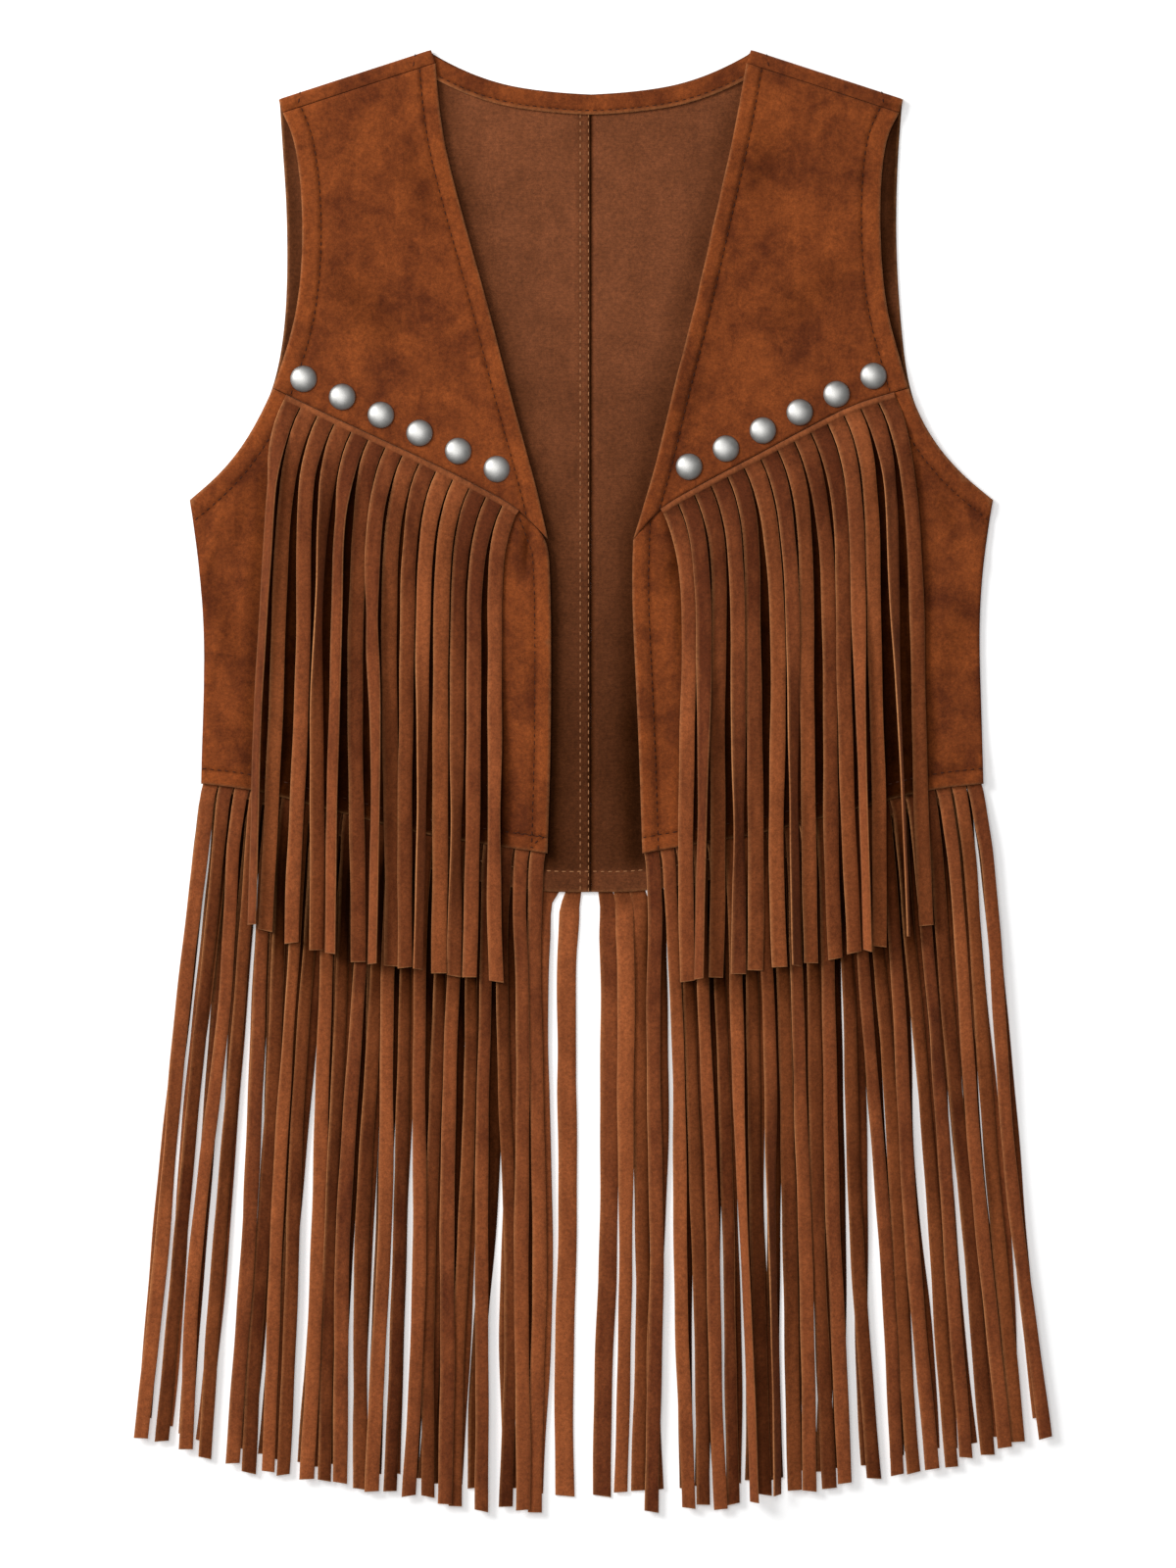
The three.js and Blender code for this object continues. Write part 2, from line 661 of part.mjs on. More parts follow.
// A domed stud with a thin rim
function stud() {
  const profile = [
    [0, 0],
    [STUD.radius, 0],
    [STUD.radius, STUD.rim],
    [STUD.radius * 0.83, STUD.height * 0.58],
    [STUD.radius * 0.48, STUD.height * 0.88],
    [0, STUD.height],
  ].map(([radius, height]) => new THREE.Vector2(radius, height));
  const geometry = new THREE.LatheGeometry(profile, STUD.segments);
  return geometry.rotateX(Math.PI / 2);
}

function addStuds(side, bed) {
  const { inner, outer } = STUD_ROWS[side.name];
  for (let i = 0; i < STUD.count; i++) {
    const share = i / (STUD.count - 1);
    const x = side.sign * THREE.MathUtils.lerp(inner.x, outer.x, share);
    const y = THREE.MathUtils.lerp(inner.y, outer.y, share);
    const under = [0, 1, 2, 3, 4, 5, 6, 7].map((eighth) => {
      const angle = (eighth * Math.PI) / 4;
      return bed(x + STUD.radius * Math.cos(angle), y + STUD.radius * Math.sin(angle));
    });
    const mesh = add(`stud_${side.name}_${i + 1}`, stud(), STUD_METAL);
    mesh.position.set(x, y, Math.max(...under) + AIR);
  }
}

const flatBed = (height) => () => height;
const hemTips = (shorter) => (x, number) => heightAlong(HEM_TIPS, x) + shorter + 2 * scatter(number);
const chestTips = (x, number) => heightAlong(CHEST_TIPS, x) + 0.8 * scatter(number);

for (const side of SIDES) add(`back_${side.name}`, back(side), HIDE_INSIDE);
add("back_neck_facing", neckFacing(), HIDE);

for (const side of SIDES) {
  const yokeTop = topOf(add(`front_yoke_${side.name}`, yoke(side), HIDE));
  const lowerTop = topOf(add(`front_lower_${side.name}`, lowerFront(side), HIDE));
  const frontTop = (x, y) => Math.max(lowerTop(x, y), frontMid(x, y) + CLOTH / 2);
  const chestBed = (middle, spread) => {
    const places = [-1, 0, 1].map((end) => middle.clone().addScaledVector(spread, end));
    return Math.max(...places.map(({ x, y }) => overFront(x, y)));
  };
  const chest = {
    edge: yokeSeam(side, 0),
    cut: CHEST_FRINGE,
    bunches: CHEST_BUNCHES[side.name],
    tips: chestTips,
    rows: CHEST_ROWS,
    cover: -CHEST_FRINGE.length - 2 * AIR,
    bed: chestBed,
    rootMid: (x, y) => frontTop(x, y) + AIR + STRIP / 2,
    seed: 11,
  };
  add(`chest_fringe_${side.name}`, fringe(side, chest), HIDE);
  const frontHem = {
    edge: frontHemCurve(side),
    cut: HEM_FRINGE,
    bunches: HEM_BUNCHES[side.name],
    tips: hemTips(0),
    rows: FRONT_ROWS,
    cover: ROOT_COVER,
    bed: flatBed(FRONT_ROOT_MID - STRIP / 2),
    rootMid: flatBed(FRONT_ROOT_MID),
    seed: 53,
  };
  add(`hem_fringe_front_${side.name}`, fringe(side, frontHem), HIDE);
  const backHem = {
    edge: backHemCurve(side),
    cut: BACK_FRINGE,
    bunches: [...BACK_CENTRE_BUNCHES[side.name], ...HEM_BUNCHES[side.name]].map(
      (bunch) => ({ ...bunch, turn: 0 }),
    ),
    tips: hemTips(BACK_FRINGE_SHORTER),
    rows: BACK_ROWS,
    cover: ROOT_COVER,
    bed: flatBed(AIR),
    rootMid: flatBed(BACK_ROOT_MID),
    seed: 97,
  };
  add(`hem_fringe_back_${side.name}`, fringe(side, backHem), HIDE);
  addStuds(side, yokeTop);
}

export default vest;
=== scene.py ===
"""Western vest of napped suede, laid flat and front up, built around its packed solids.

The panels are fine shells on the solids' own surfaces, with the creases, puckers and rolled
edges of sewn hide. The fringes are cut strips that follow the solids' strands. Tables give
millimetres, with distances from the centre line without their sign; the rest is in metres.
"""

import math

import bmesh
import bpy
import numpy as np
from bpy.props import FloatProperty, FloatVectorProperty, IntProperty, PointerProperty
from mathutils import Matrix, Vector
from mathutils.bvhtree import BVHTree


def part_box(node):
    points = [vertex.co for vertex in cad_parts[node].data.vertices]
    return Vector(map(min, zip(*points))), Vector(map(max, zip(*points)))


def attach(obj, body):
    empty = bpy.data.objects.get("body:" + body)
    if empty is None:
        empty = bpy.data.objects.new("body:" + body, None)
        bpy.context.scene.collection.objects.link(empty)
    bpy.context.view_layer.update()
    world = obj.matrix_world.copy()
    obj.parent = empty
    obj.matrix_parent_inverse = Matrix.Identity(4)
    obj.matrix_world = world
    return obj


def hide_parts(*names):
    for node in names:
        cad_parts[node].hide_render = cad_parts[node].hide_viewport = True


bl_info = {
    "name": "Fringed Suede Vest",
    "version": (1, 0, 0),
    "blender": (4, 5, 0),
    "location": "View3D > Sidebar > Vest",
    "description": "Suede panels, cut fringes, stitching and studs of a western vest",
    "category": "Object",
}

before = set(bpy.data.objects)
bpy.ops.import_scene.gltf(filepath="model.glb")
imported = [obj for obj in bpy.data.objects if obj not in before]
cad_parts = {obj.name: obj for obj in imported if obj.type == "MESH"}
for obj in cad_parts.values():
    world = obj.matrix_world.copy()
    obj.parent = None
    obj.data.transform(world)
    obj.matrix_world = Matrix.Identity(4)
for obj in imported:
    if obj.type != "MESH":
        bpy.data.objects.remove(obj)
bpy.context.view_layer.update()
MM = 0.001
SIDES = {"left": -1, "right": 1}


def table(columns, rows):
    """Rows of values under named columns"""
    return [dict(zip(columns.split(), row)) for row in rows]


# Corners of each panel's outline, and a place on its upper side
CORNERS = {
    "front_yoke": {"seam_inner": (24, 135), "seam_outer": (178, 220), "tip": (173, 374), "neck": (87, 402),
                   "middle": (110, 280)},
    "front_lower": {"hem_inner": (26, -41), "hem_outer": (219, -2), "armpit": (225, 157),
                    "seam_outer": (178, 219), "seam_inner": (24, 134), "middle": (120, 80)},
    "back": {"hem_centre": (0.2, -62.7), "hem_outer": (219, -2), "armpit": (225, 157),
             "shoulder": (174.5, 379.5), "neck_centre": (0.2, 384.7), "middle": (100, 100)},
}

# Rows of stitches: the two corners that each runs between, and its distance in from the edge
SEAMS = {
    "front_yoke": table("from to inset side", [
        ("seam_inner", "neck", 9.0),
        ("seam_outer", "tip", 10.5),
    ]),
    "front_lower": table("from to inset side", [
        ("hem_inner", "seam_inner", 9.0),
        ("armpit", "seam_outer", 10.5),
        ("hem_inner", "hem_outer", 8.5),
    ]),
    "back": table("from to inset side", [
        ("hem_centre", "hem_outer", 11.5),
        ("hem_centre", "neck_centre", 1.2, "left"),
        ("hem_centre", "neck_centre", 5.8, "left"),
        ("armpit", "shoulder", 10.0),
    ]),
}

# Edges that stand up a little off what is below: the height, and how far in it reaches
LIFTS = {
    "front_yoke": table("from to height reach", [
        ("seam_inner", "neck", 2.6, 11.0),
        ("seam_outer", "tip", 0.6, 8.0),
    ]),
    "front_lower": table("from to height reach", [
        ("hem_inner", "seam_inner", 2.6, 11.0),
        ("armpit", "seam_outer", 0.6, 8.0),
    ]),
    "back": [],
}

# Soft creases, placed one by one: from one place to another, with a width and a height
CREASES = {
    "front_yoke": table("side line width height", [
        ("left", (160, 334, 118, 262), 13, 0.9),
        ("right", (158, 322, 124, 270), 15, 0.8),
        ("left", (150, 292, 102, 236), 12, -0.7),
        ("right", (152, 300, 96, 246), 11, -0.6),
        ("left", (98, 366, 82, 300), 16, -0.6),
        ("right", (102, 372, 90, 318), 13, -0.7),
        ("left", (136, 374, 142, 332), 9, 0.5),
        ("right", (62, 232, 46, 186), 8, -0.5),
        ("left", (70, 250, 50, 200), 9, 0.4),
    ]),
    "front_lower": table("side line width height", [
        ("left", (206, 158, 221, 100), 2.4, 1.5),
        ("left", (206, 92, 217, 48), 2.6, 1.1),
        ("left", (187, 180, 203, 118), 5, -0.8),
        ("left", (216, 130, 190, 42), 8, -0.7),
        ("right", (207, 158, 222, 112), 2.6, 1.3),
        ("right", (193, 166, 206, 136), 4, -0.7),
        ("right", (214, 112, 192, 40), 9, -0.6),
        ("left", (206, 34, 180, 0), 7, -0.6),
        ("right", (212, 20, 196, -4), 6, -0.5),
        ("left", (35.5, 152, 37.5, 110), 2.7, -2.0),
        ("right", (55, 154, 43, 100), 5.4, -2.5),
        ("left", (34, 100, 30, 30), 6, -0.5),
        ("right", (40, 84, 36, 6), 7, 0.5),
    ]),
    "back": table("side line width height", [
        ("right", (15.5, -64, 14, -8), 2.0, -0.7),
        ("right", (36, 384, 42, 250), 13, 0.4),
        ("right", (26, 210, 31, 60), 11, -0.4),
        ("left", (31, 372, 25, 240), 12, -0.4),
        ("left", (14, 130, 19, -20), 9, 0.4),
        ("left", (52, 330, 60, 250), 15, 0.4),
    ]),
}

# Short rows that cross the strip of the back which lies over the shoulder
SHOULDER_ROWS = [(100.5, 395, 98.5, 407), (164.5, 375.5, 163, 387)]

# Fringes: how many rows of quads each strand of the solid has, its backing's width and bead, how
# much wider its strips start, how far they twist, how much shade is painted on them under their
# neighbours and under the hem's lip, how far their roots are darkened (a painted shade) and their
# low parts lightened, and the painted shadow of other pieces on them: at the roots, all along,
# where it fades down the strips, and where it starts and ends across
FRINGES = {
    "chest_fringe": {
        "rows": 8, "backing": 3.0, "bead": 0.9, "wide": 0.0, "twist": 1.0, "under": 0.2,
        "lip": 0.0, "root": -1.0, "low": 0.4,
        "shade": {"roots": 0.0, "all": 0.0, "from": 0, "to": 1, "start": 30, "reach": 186},
    },
    "hem_fringe_front": {
        "rows": 7, "backing": 4.5, "bead": 0.0, "wide": -0.09, "twist": 0.8, "under": 0.36,
        "lip": 0.0, "root": -0.5, "low": 0.0,
        "shade": {"roots": 0.6, "all": 0.0, "from": 55, "to": 125, "start": 48, "reach": 186},
    },
    "hem_fringe_back": {
        "rows": 6, "backing": 4.5, "bead": 0.0, "wide": 0.28, "twist": 0.0, "under": 0.3,
        "lip": 0.42, "root": -0.3, "low": 0.0,
        "shade": {"roots": 0.86, "all": 0.42, "from": 30, "to": 150, "start": 30, "reach": 400},
    },
}

# Strips that lie turned on edge over most of their length, by their number from the centre
TURNED = {"chest_fringe_left": {9: 0.8, 10: -0.55, 13: 1.0}, "chest_fringe_right": {12: -0.7}}

# Strips beside the middle of the back hem, by their number: how far out each is moved at its
# root, 110 mm on and 220 mm on, and how much wider it is
MOVED = {
    "hem_fringe_back_left": {0: (-3.0, -0.4, -1.6, 0.35), 1: (4.2, 0.5, 0.0, 0.0)},
    "hem_fringe_back_right": {0: (-4.3, -3.3, -0.9, 0.3), 1: (-4.1, -2.5, 0.0, 0.0), 2: (-4.0, -3.0, 1.0, 0.0),
                              3: (-2.6, -1.2, 0.0, 0.0)},
}

# The rounded bead that a backing makes: how far out from the roots, and how high
BEAD = table("out height", [(1.0, 0.0), (0.84, 0.75), (0.5, 1.0), (0.2, 0.6)])

# Painted shadow of the chest fringe on the fronts beside it: the height where it starts, the height where it
# is full, and how deep it is
FRINGE_SHADE = {
    "left": {"inner": (95, 30, 0.85), "outer": (196, 160, 0.42)},
    "right": {"inner": (30, 95, 0.6), "outer": (196, 160, 0.3)},
}

# Edges of the fronts whose shadow is painted on the back, as places from the centre line, and how deep
# the shade painted behind the armholes is
FRONT_EDGES = {
    "opening": [(26, -41), (24, 135), (87, 402)],
    "armhole": [(178, 219), (164, 270), (173, 374)],
}
ARMHOLE_SHADE = {"left": 0.62, "right": 0.78}

# First seed of the strips of each fringe
SEEDS = {
    "chest_fringe_left": 100, "chest_fringe_right": 200, "hem_fringe_back_left": 300,
    "hem_fringe_back_right": 400, "hem_fringe_front_left": 500, "hem_fringe_front_right": 600,
}

# Places of a strip's columns across it, and how much of its thickness it has at each
ACROSS = np.array([-1.0, -0.9, -0.5, 0.0, 0.5, 0.9, 1.0])
THICKNESS_ACROSS = np.array([0.62, 0.96, 1, 1, 1, 0.96, 0.62])

# Half a panel's thickness and half the facing's, and the lowest that a front's middle lies
PANEL_HALF = 0.7
FACING_HALF = 0.5
FRONT_REST = 2.42

# Half the gap between the solids of the back, the height where the facing covers its rows, and
# how deep the shade painted in its grooves is beside that in the fronts' grooves
BACK_GAP = 0.145
FACING_LOW = 373
INSIDE_MARK = 0.75

# How far in from its lower edge the facing is stitched, how often a panel's faces are halved, how
# many studs a yoke has, and the floor's glow
FACING_SEAM = 2.3
LEVELS = 3
STUD_COUNT = 6
FLOOR_GLOW = 0.3

# The rows of stitches that the panels leave for the stitching, by the kind of panel
seam_rows = {}


def colour_setting(name, description, default):
    return FloatVectorProperty(name=name, description=description, size=3, subtype="COLOR", default=default)


def size_setting(name, description, default):
    return FloatProperty(name=name, description=description, default=default, unit="LENGTH")


class VestSuede(bpy.types.PropertyGroup):
    """Colours of the hide, its cut edges and the thread"""

    nap_dark: colour_setting("Nap, dark", "Suede where the nap is brushed down", (0.106, 0.0215, 0.0044))
    nap_light: colour_setting("Nap, light", "Suede where the nap is brushed up", (0.258, 0.0595, 0.0115))
    inside_dark: colour_setting("Inside, dark", "Inside of the hide in its darker patches",
                                (0.120, 0.034, 0.0100))
    inside_light: colour_setting("Inside, light", "Inside of the hide in its lighter patches",
                                 (0.222, 0.066, 0.0225))
    strip_dark: colour_setting("Strips, dark", "Fringe strips in their darker parts", (0.112, 0.0245, 0.0062))
    strip_light: colour_setting("Strips, light", "Fringe strips in their lighter parts",
                                (0.345, 0.093, 0.0265))
    # Also the colour of the painted highlights on rolled edges, beads and the strips' left edges
    cut_edge_and_highlight: colour_setting("Cut edge", "Pale flesh of the hide where it is cut", (0.56, 0.235, 0.088))
    thread: colour_setting("Thread", "Sewing thread on the fronts", (0.042, 0.0105, 0.004))
    thread_inside: colour_setting("Inside thread", "Sewing thread on the inside of the back",
                                  (0.38, 0.165, 0.068))


class VestSewing(bpy.types.PropertyGroup):
    """Sizes of the stitches, and of the grooves, puckers and painted groove shade that they leave"""

    pitch: size_setting("Pitch", "Distance from one stitch to the next", 0.0042)
    length: size_setting("Length", "Length of one stitch", 0.003)
    thread: size_setting("Thread", "Thickness of the thread", 0.0007)
    groove: size_setting("Groove", "Depth that a row of stitches pulls the hide down", 0.00055)
    # How much shade is painted into a row's groove
    mark: FloatProperty(name="Mark", description="How dark a row's groove is", default=0.38, min=0, max=1)
    pucker: size_setting("Pucker", "Height of the small puckers along a row", 0.00017)
    seed: IntProperty(name="Seed", description="Choice of the unevenness of the stitches", default=7)


class VestFringe(bpy.types.PropertyGroup):
    """Sizes of the cut strips"""

    thickness: size_setting("Thickness", "Thickness of a strip", 0.001)
    curl: size_setting("Curl", "How far a strip's edges curl up or down", 0.0004)
    waver: size_setting("Waver", "How far the cut wanders from a straight line", 0.00022)
    spacing: size_setting("Row spacing", "Distance between rows of faces along a strip", 0.0065)
    skew: size_setting("Skew", "How far a strip's end is cut off square", 0.0008)
    roll: FloatProperty(name="Roll", description="How far a strip turns about its length",
                        default=math.radians(3.5), subtype="ANGLE")
    twisted: FloatProperty(name="Twisted", description="Share of the strips that twist at one place",
                           default=0.4, min=0, max=1)
    sway: size_setting("Sway", "How far a strip swings from its line", 0.0016)


class VestStuds(bpy.types.PropertyGroup):
    """Sizes of the domed studs"""

    radius: size_setting("Radius", "Radius of a stud", 0.0075)
    height: size_setting("Height", "Height of a stud's dome", 0.0033)
    metal: colour_setting("Metal", "Colour of the studs' metal", (0.5, 0.493, 0.474))
    seed: IntProperty(name="Seed", description="Choice of how each stud is turned", default=3)


class VestStage(bpy.types.PropertyGroup):
    """Camera, floor and light"""

    camera_height: size_setting("Camera height", "Height of the camera above the floor", 5.0)
    view_height: size_setting("View height", "Length of floor that fills the picture's height", 0.88)
    floor: colour_setting("Floor", "Colour of the floor", (0.93, 0.93, 0.93))
    key: FloatProperty(name="Key light",
                       description="Power of the low light from the left, in watts", default=56.0)
    top: FloatProperty(name="Top light", description="Power of the soft light above, in watts", default=42.0)
    surround: FloatProperty(name="Surround", description="Strength of the light from all round", default=0.2)


def settings():
    return bpy.context.scene


def length_of(line):
    return float(np.linalg.norm(np.diff(line, axis=0), axis=1).sum())


def gone_along(line):
    """How far along a line each of its points is"""
    return np.concatenate([[0], np.cumsum(np.linalg.norm(np.diff(line, axis=0), axis=1))])


def evenly(line, step):
    """A line resampled at even steps"""
    gone = gone_along(line)
    at = np.linspace(0, gone[-1], max(2, round(gone[-1] / step) + 1))
    return np.stack([np.interp(at, gone, column) for column in line.T], 1)


def drift(x, y, size, seed):
    """Smooth unevenness between about -1 and 1, in lumps of about the given size"""
    random = np.random.default_rng(seed)
    total = np.zeros(np.broadcast(x, y).shape)
    for _ in range(8):
        angle, phase = random.uniform(0, math.tau, 2)
        wave = math.tau / (size * random.uniform(1.4, 3.2))
        total += np.sin((x * math.cos(angle) + y * math.sin(angle)) * wave + phase)
    return total / 4


def fade(value, low, high):
    """0 at the low value or before it, 1 at the high value or past it, smooth between"""
    share = np.clip((value - low) / (high - low), 0, 1)
    return share * share * (3 - 2 * share)


def add_node(tree, kind, inputs=None, **choices):
    """One shader or geometry node with its choices, its values and its links"""
    node = tree.nodes.new(kind)
    for name, value in choices.items():
        setattr(node, name, value)
    for key, value in (inputs or {}).items():
        if isinstance(value, bpy.types.NodeSocket):
            tree.links.new(value, node.inputs[key])
        else:
            node.inputs[key].default_value = value
    return node


def mixed(tree, share, first, second, blend="MIX"):
    """The colour between two others"""
    node = add_node(tree, "ShaderNodeMix", {0: share, 6: first, 7: second}, data_type="RGBA", blend_type=blend)
    return node.outputs[2]


def reckoned(tree, operation, first, second, third=0.0):
    node = add_node(tree, "ShaderNodeMath", {0: first, 1: second, 2: third}, operation=operation)
    return node.outputs[0]


def spread(tree, value, low, high, to_low=0.0, to_high=1.0):
    node = add_node(tree, "ShaderNodeMapRange", {0: value, 1: low, 2: high, 3: to_low, 4: to_high})
    return node.outputs[0]


def mottling(tree, place, scale, detail, roughness, distortion=0.0):
    inputs = {"Vector": place, "Scale": scale, "Detail": detail, "Roughness": roughness,
              "Distortion": distortion}
    return add_node(tree, "ShaderNodeTexNoise", inputs).outputs["Fac"]


def rgba(colour):
    return (*colour, 1.0)


def shaded(tree, colour, shade):
    """A colour made darker or lighter by a grey value"""
    grey = add_node(tree, "ShaderNodeCombineColor", {0: shade, 1: shade, 2: shade}).outputs[0]
    return mixed(tree, 1.0, colour, grey, "MULTIPLY")


def bumped(tree, shader, height, strength, distance):
    """Fine relief on a surface"""
    bump = add_node(tree, "ShaderNodeBump", {"Strength": strength, "Distance": distance, "Height": height})
    tree.links.new(bump.outputs[0], shader.inputs["Normal"])


def new_material(name):
    material = bpy.data.materials.new(name)
    material.use_nodes = True
    tree = material.node_tree
    place = tree.nodes.new("ShaderNodeTexCoord").outputs["Object"]
    return material, tree, tree.nodes["Principled BSDF"], place


def stretched(tree, place, scale):
    return add_node(tree, "ShaderNodeMapping", {"Vector": place, "Scale": scale}).outputs[0]


def suede(name, dark, light, patch=34.0, clouds=1.0, streak=0.5, roughness=0.94, sheen=0.18,
          nap=0.5, weave=0.0):
    """Hide: brushed patches, a fine nap, painted shade in hollows and under other pieces, and paler cut edges,
    some with a painted highlight
    """
    if name in bpy.data.materials:
        return bpy.data.materials[name]
    material, tree, shader, place = new_material(name)
    strip = add_node(tree, "ShaderNodeAttribute", attribute_name="strip").outputs["Vector"]
    place = add_node(tree, "ShaderNodeVectorMath", {0: strip, 1: (0.37, 0.61, 0.23), 2: place},
                     operation="MULTIPLY_ADD").outputs[0]
    broad = mottling(tree, place, patch, 5.0, 0.55, 0.5)
    cloudy = mottling(tree, place, patch * 4.5, 4.0, 0.6, 0.4)
    brushed = mottling(tree, stretched(tree, place, (150, 42, 150)), 1.0, 4.0, 0.6)
    fibre = mottling(tree, place, 1500.0, 3.0, 0.7)
    speck = mottling(tree, place, 520.0, 3.0, 0.7)
    tone_and_light, painted_shade, cut = (
        add_node(tree, "ShaderNodeAttribute", attribute_name=mark).outputs["Fac"]
        for mark in ("tone_and_light", "dark", "cut"))
    patches = spread(tree, broad, 0.28, 0.72, 0.5 - clouds / 2, 0.5 + clouds / 2)
    patches = reckoned(tree, "MULTIPLY_ADD", spread(tree, cloudy, 0.3, 0.7, -0.5, 0.5), 0.55 * clouds, patches)
    patches = reckoned(tree, "MULTIPLY_ADD", spread(tree, brushed, 0.3, 0.7, -0.5, 0.5), streak, patches)
    # The hide's own lighter and darker places, with painted highlights on raised creases and painted shade at
    # the strips' roots
    patches = reckoned(tree, "MULTIPLY_ADD", tone_and_light, 0.36, patches)
    colour = mixed(tree, spread(tree, patches, -0.15, 1.15), rgba(dark), rgba(light))
    grain = spread(tree, fibre, 0.25, 0.75, 0.7, 1.3)
    grain = reckoned(tree, "MULTIPLY", grain, spread(tree, speck, 0.3, 0.7, 0.74, 1.26))
    # Painted shade: darkens the colour where the dark mark is set
    grain = reckoned(tree, "MULTIPLY", grain, spread(tree, painted_shade, 0.0, 1.0, 1.0, 0.06))
    if weave:
        crosswise = mottling(tree, stretched(tree, place, (160, 2100, 160)), 1.0, 2.0, 0.5)
        grain = reckoned(tree, "MULTIPLY", grain, spread(tree, crosswise, 0.3, 0.7, 1 - weave, 1 + weave))
    colour = shaded(tree, colour, grain)
    # Paler cut edges, partly painted highlights on rolled edges, beads and the strips' left edges
    broken = reckoned(tree, "MULTIPLY", cut, spread(tree, speck, 0.25, 0.6, 0.45, 1.0))
    colour = mixed(tree, broken, colour, rgba(settings().vest_suede.cut_edge_and_highlight))
    tree.links.new(colour, shader.inputs["Base Color"])
    shader.inputs["Roughness"].default_value = roughness
    # Less specular and sheen where shade is painted
    tree.links.new(spread(tree, painted_shade, 0.0, 0.8, 0.18, 0.0), shader.inputs["Specular IOR Level"])
    tree.links.new(spread(tree, painted_shade, 0.0, 0.8, sheen, 0.0), shader.inputs["Sheen Weight"])
    shader.inputs["Sheen Roughness"].default_value = 0.45
    shader.inputs["Sheen Tint"].default_value = (0.95, 0.52, 0.30, 1.0)
    relief = reckoned(tree, "MULTIPLY_ADD", cloudy, 0.8, fibre)
    relief = reckoned(tree, "MULTIPLY_ADD", speck, 0.5, relief)
    bumped(tree, shader, relief, nap, 0.0004)
    return material


def outer_suede():
    colours = settings().vest_suede
    return suede("napped_suede", colours.nap_dark, colours.nap_light, clouds=1.25)


def inner_suede():
    colours = settings().vest_suede
    return suede("hide_inside", colours.inside_dark, colours.inside_light, patch=11.0, streak=0.25,
                 roughness=0.86, sheen=0.05, nap=0.3, weave=0.1)


def strip_suede():
    colours = settings().vest_suede
    return suede("strip_suede", colours.strip_dark, colours.strip_light, patch=14.0, clouds=0.45, streak=0.5,
                 sheen=0.13, nap=0.4)


def thread(name, colour):
    """Twisted sewing thread"""
    material, tree, shader, place = new_material(name)
    ply = mottling(tree, place, 2600.0, 2.0, 0.6)
    shade = spread(tree, ply, 0.3, 0.7, 0.75, 1.2)
    tree.links.new(shaded(tree, rgba(colour), shade), shader.inputs["Base Color"])
    shader.inputs["Roughness"].default_value = 0.7
    shader.inputs["Specular IOR Level"].default_value = 0.2
    bumped(tree, shader, ply, 0.5, 0.0002)
    return material


def satin_metal():
    """Satin silver with faint handling marks and a painted dark rim where the dome turns from the camera"""
    material, tree, shader, place = new_material("satin_silver")
    clouded = mottling(tree, place, 240.0, 3.0, 0.5)
    fine = mottling(tree, place, 2400.0, 2.0, 0.5)
    shade = spread(tree, clouded, 0.3, 0.7, 0.93, 1.03)
    colour = shaded(tree, rgba(settings().vest_studs.metal), shade)
    # Painted dark rim: darker where the dome turns away from the camera
    facing = add_node(tree, "ShaderNodeLayerWeight", {"Blend": 0.5}).outputs["Facing"]
    colour = mixed(tree, spread(tree, facing, 0.32, 0.56, 0.0, 0.9), colour, (0.05, 0.045, 0.04, 1.0))
    tree.links.new(colour, shader.inputs["Base Color"])
    shader.inputs["Metallic"].default_value = 1.0
    tree.links.new(spread(tree, clouded, 0.3, 0.7, 0.45, 0.53), shader.inputs["Roughness"])
    bumped(tree, shader, fine, 0.12, 0.0001)
    return material


def linked(name, data):
    """A new object at the origin of the scene"""
    piece = bpy.data.objects.new(name, data)
    bpy.context.scene.collection.objects.link(piece)
    return piece


def evaluated(piece):
    """The mesh that a piece's modifiers make"""
    return bpy.data.meshes.new_from_object(piece.evaluated_get(bpy.context.evaluated_depsgraph_get()))


def show(name, mesh, material=None):
    """A new object at the origin, shaded smooth"""
    if material:
        mesh.materials.clear()
        mesh.materials.append(material)
    mesh.shade_smooth()
    return linked(name, mesh)


def in_place_of(piece, slot, *nodes):
    """A finished piece rides on the vest and stands for its solids"""
    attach(piece, "root")
    if nodes:
        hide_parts(*nodes)
    return piece


def upper_sheet(node, place):
    """The upper side of a panel's solid, as an open sheet of quads whose corners stay sharp"""
    sheet = bmesh.new()
    sheet.from_mesh(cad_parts[node].data)
    bmesh.ops.remove_doubles(sheet, verts=sheet.verts, dist=1e-6)
    tops = [face for face in sheet.faces if face.normal.z > 0.9]
    first = min(tops, key=lambda face: (face.calc_center_median().xy - place).length)
    kept = {first}
    ahead = [first]
    while ahead:
        for edge in ahead.pop().edges:
            if edge.calc_face_angle(0) < math.radians(57):
                found = [face for face in edge.link_faces if face not in kept]
                kept.update(found)
                ahead.extend(found)
    bmesh.ops.delete(sheet, geom=[face for face in sheet.faces if face not in kept], context="FACES")
    bmesh.ops.join_triangles(sheet, faces=sheet.faces, angle_face_threshold=0.6, angle_shape_threshold=math.pi)
    sharp = sheet.verts.layers.float.new("crease_vert")
    for vert in sheet.verts:
        rim = [edge.other_vert(vert).co - vert.co for edge in vert.link_edges if edge.is_boundary]
        if len(rim) == 2 and rim[0].angle(-rim[1]) > math.radians(50):
            vert[sharp] = 1
    return sheet


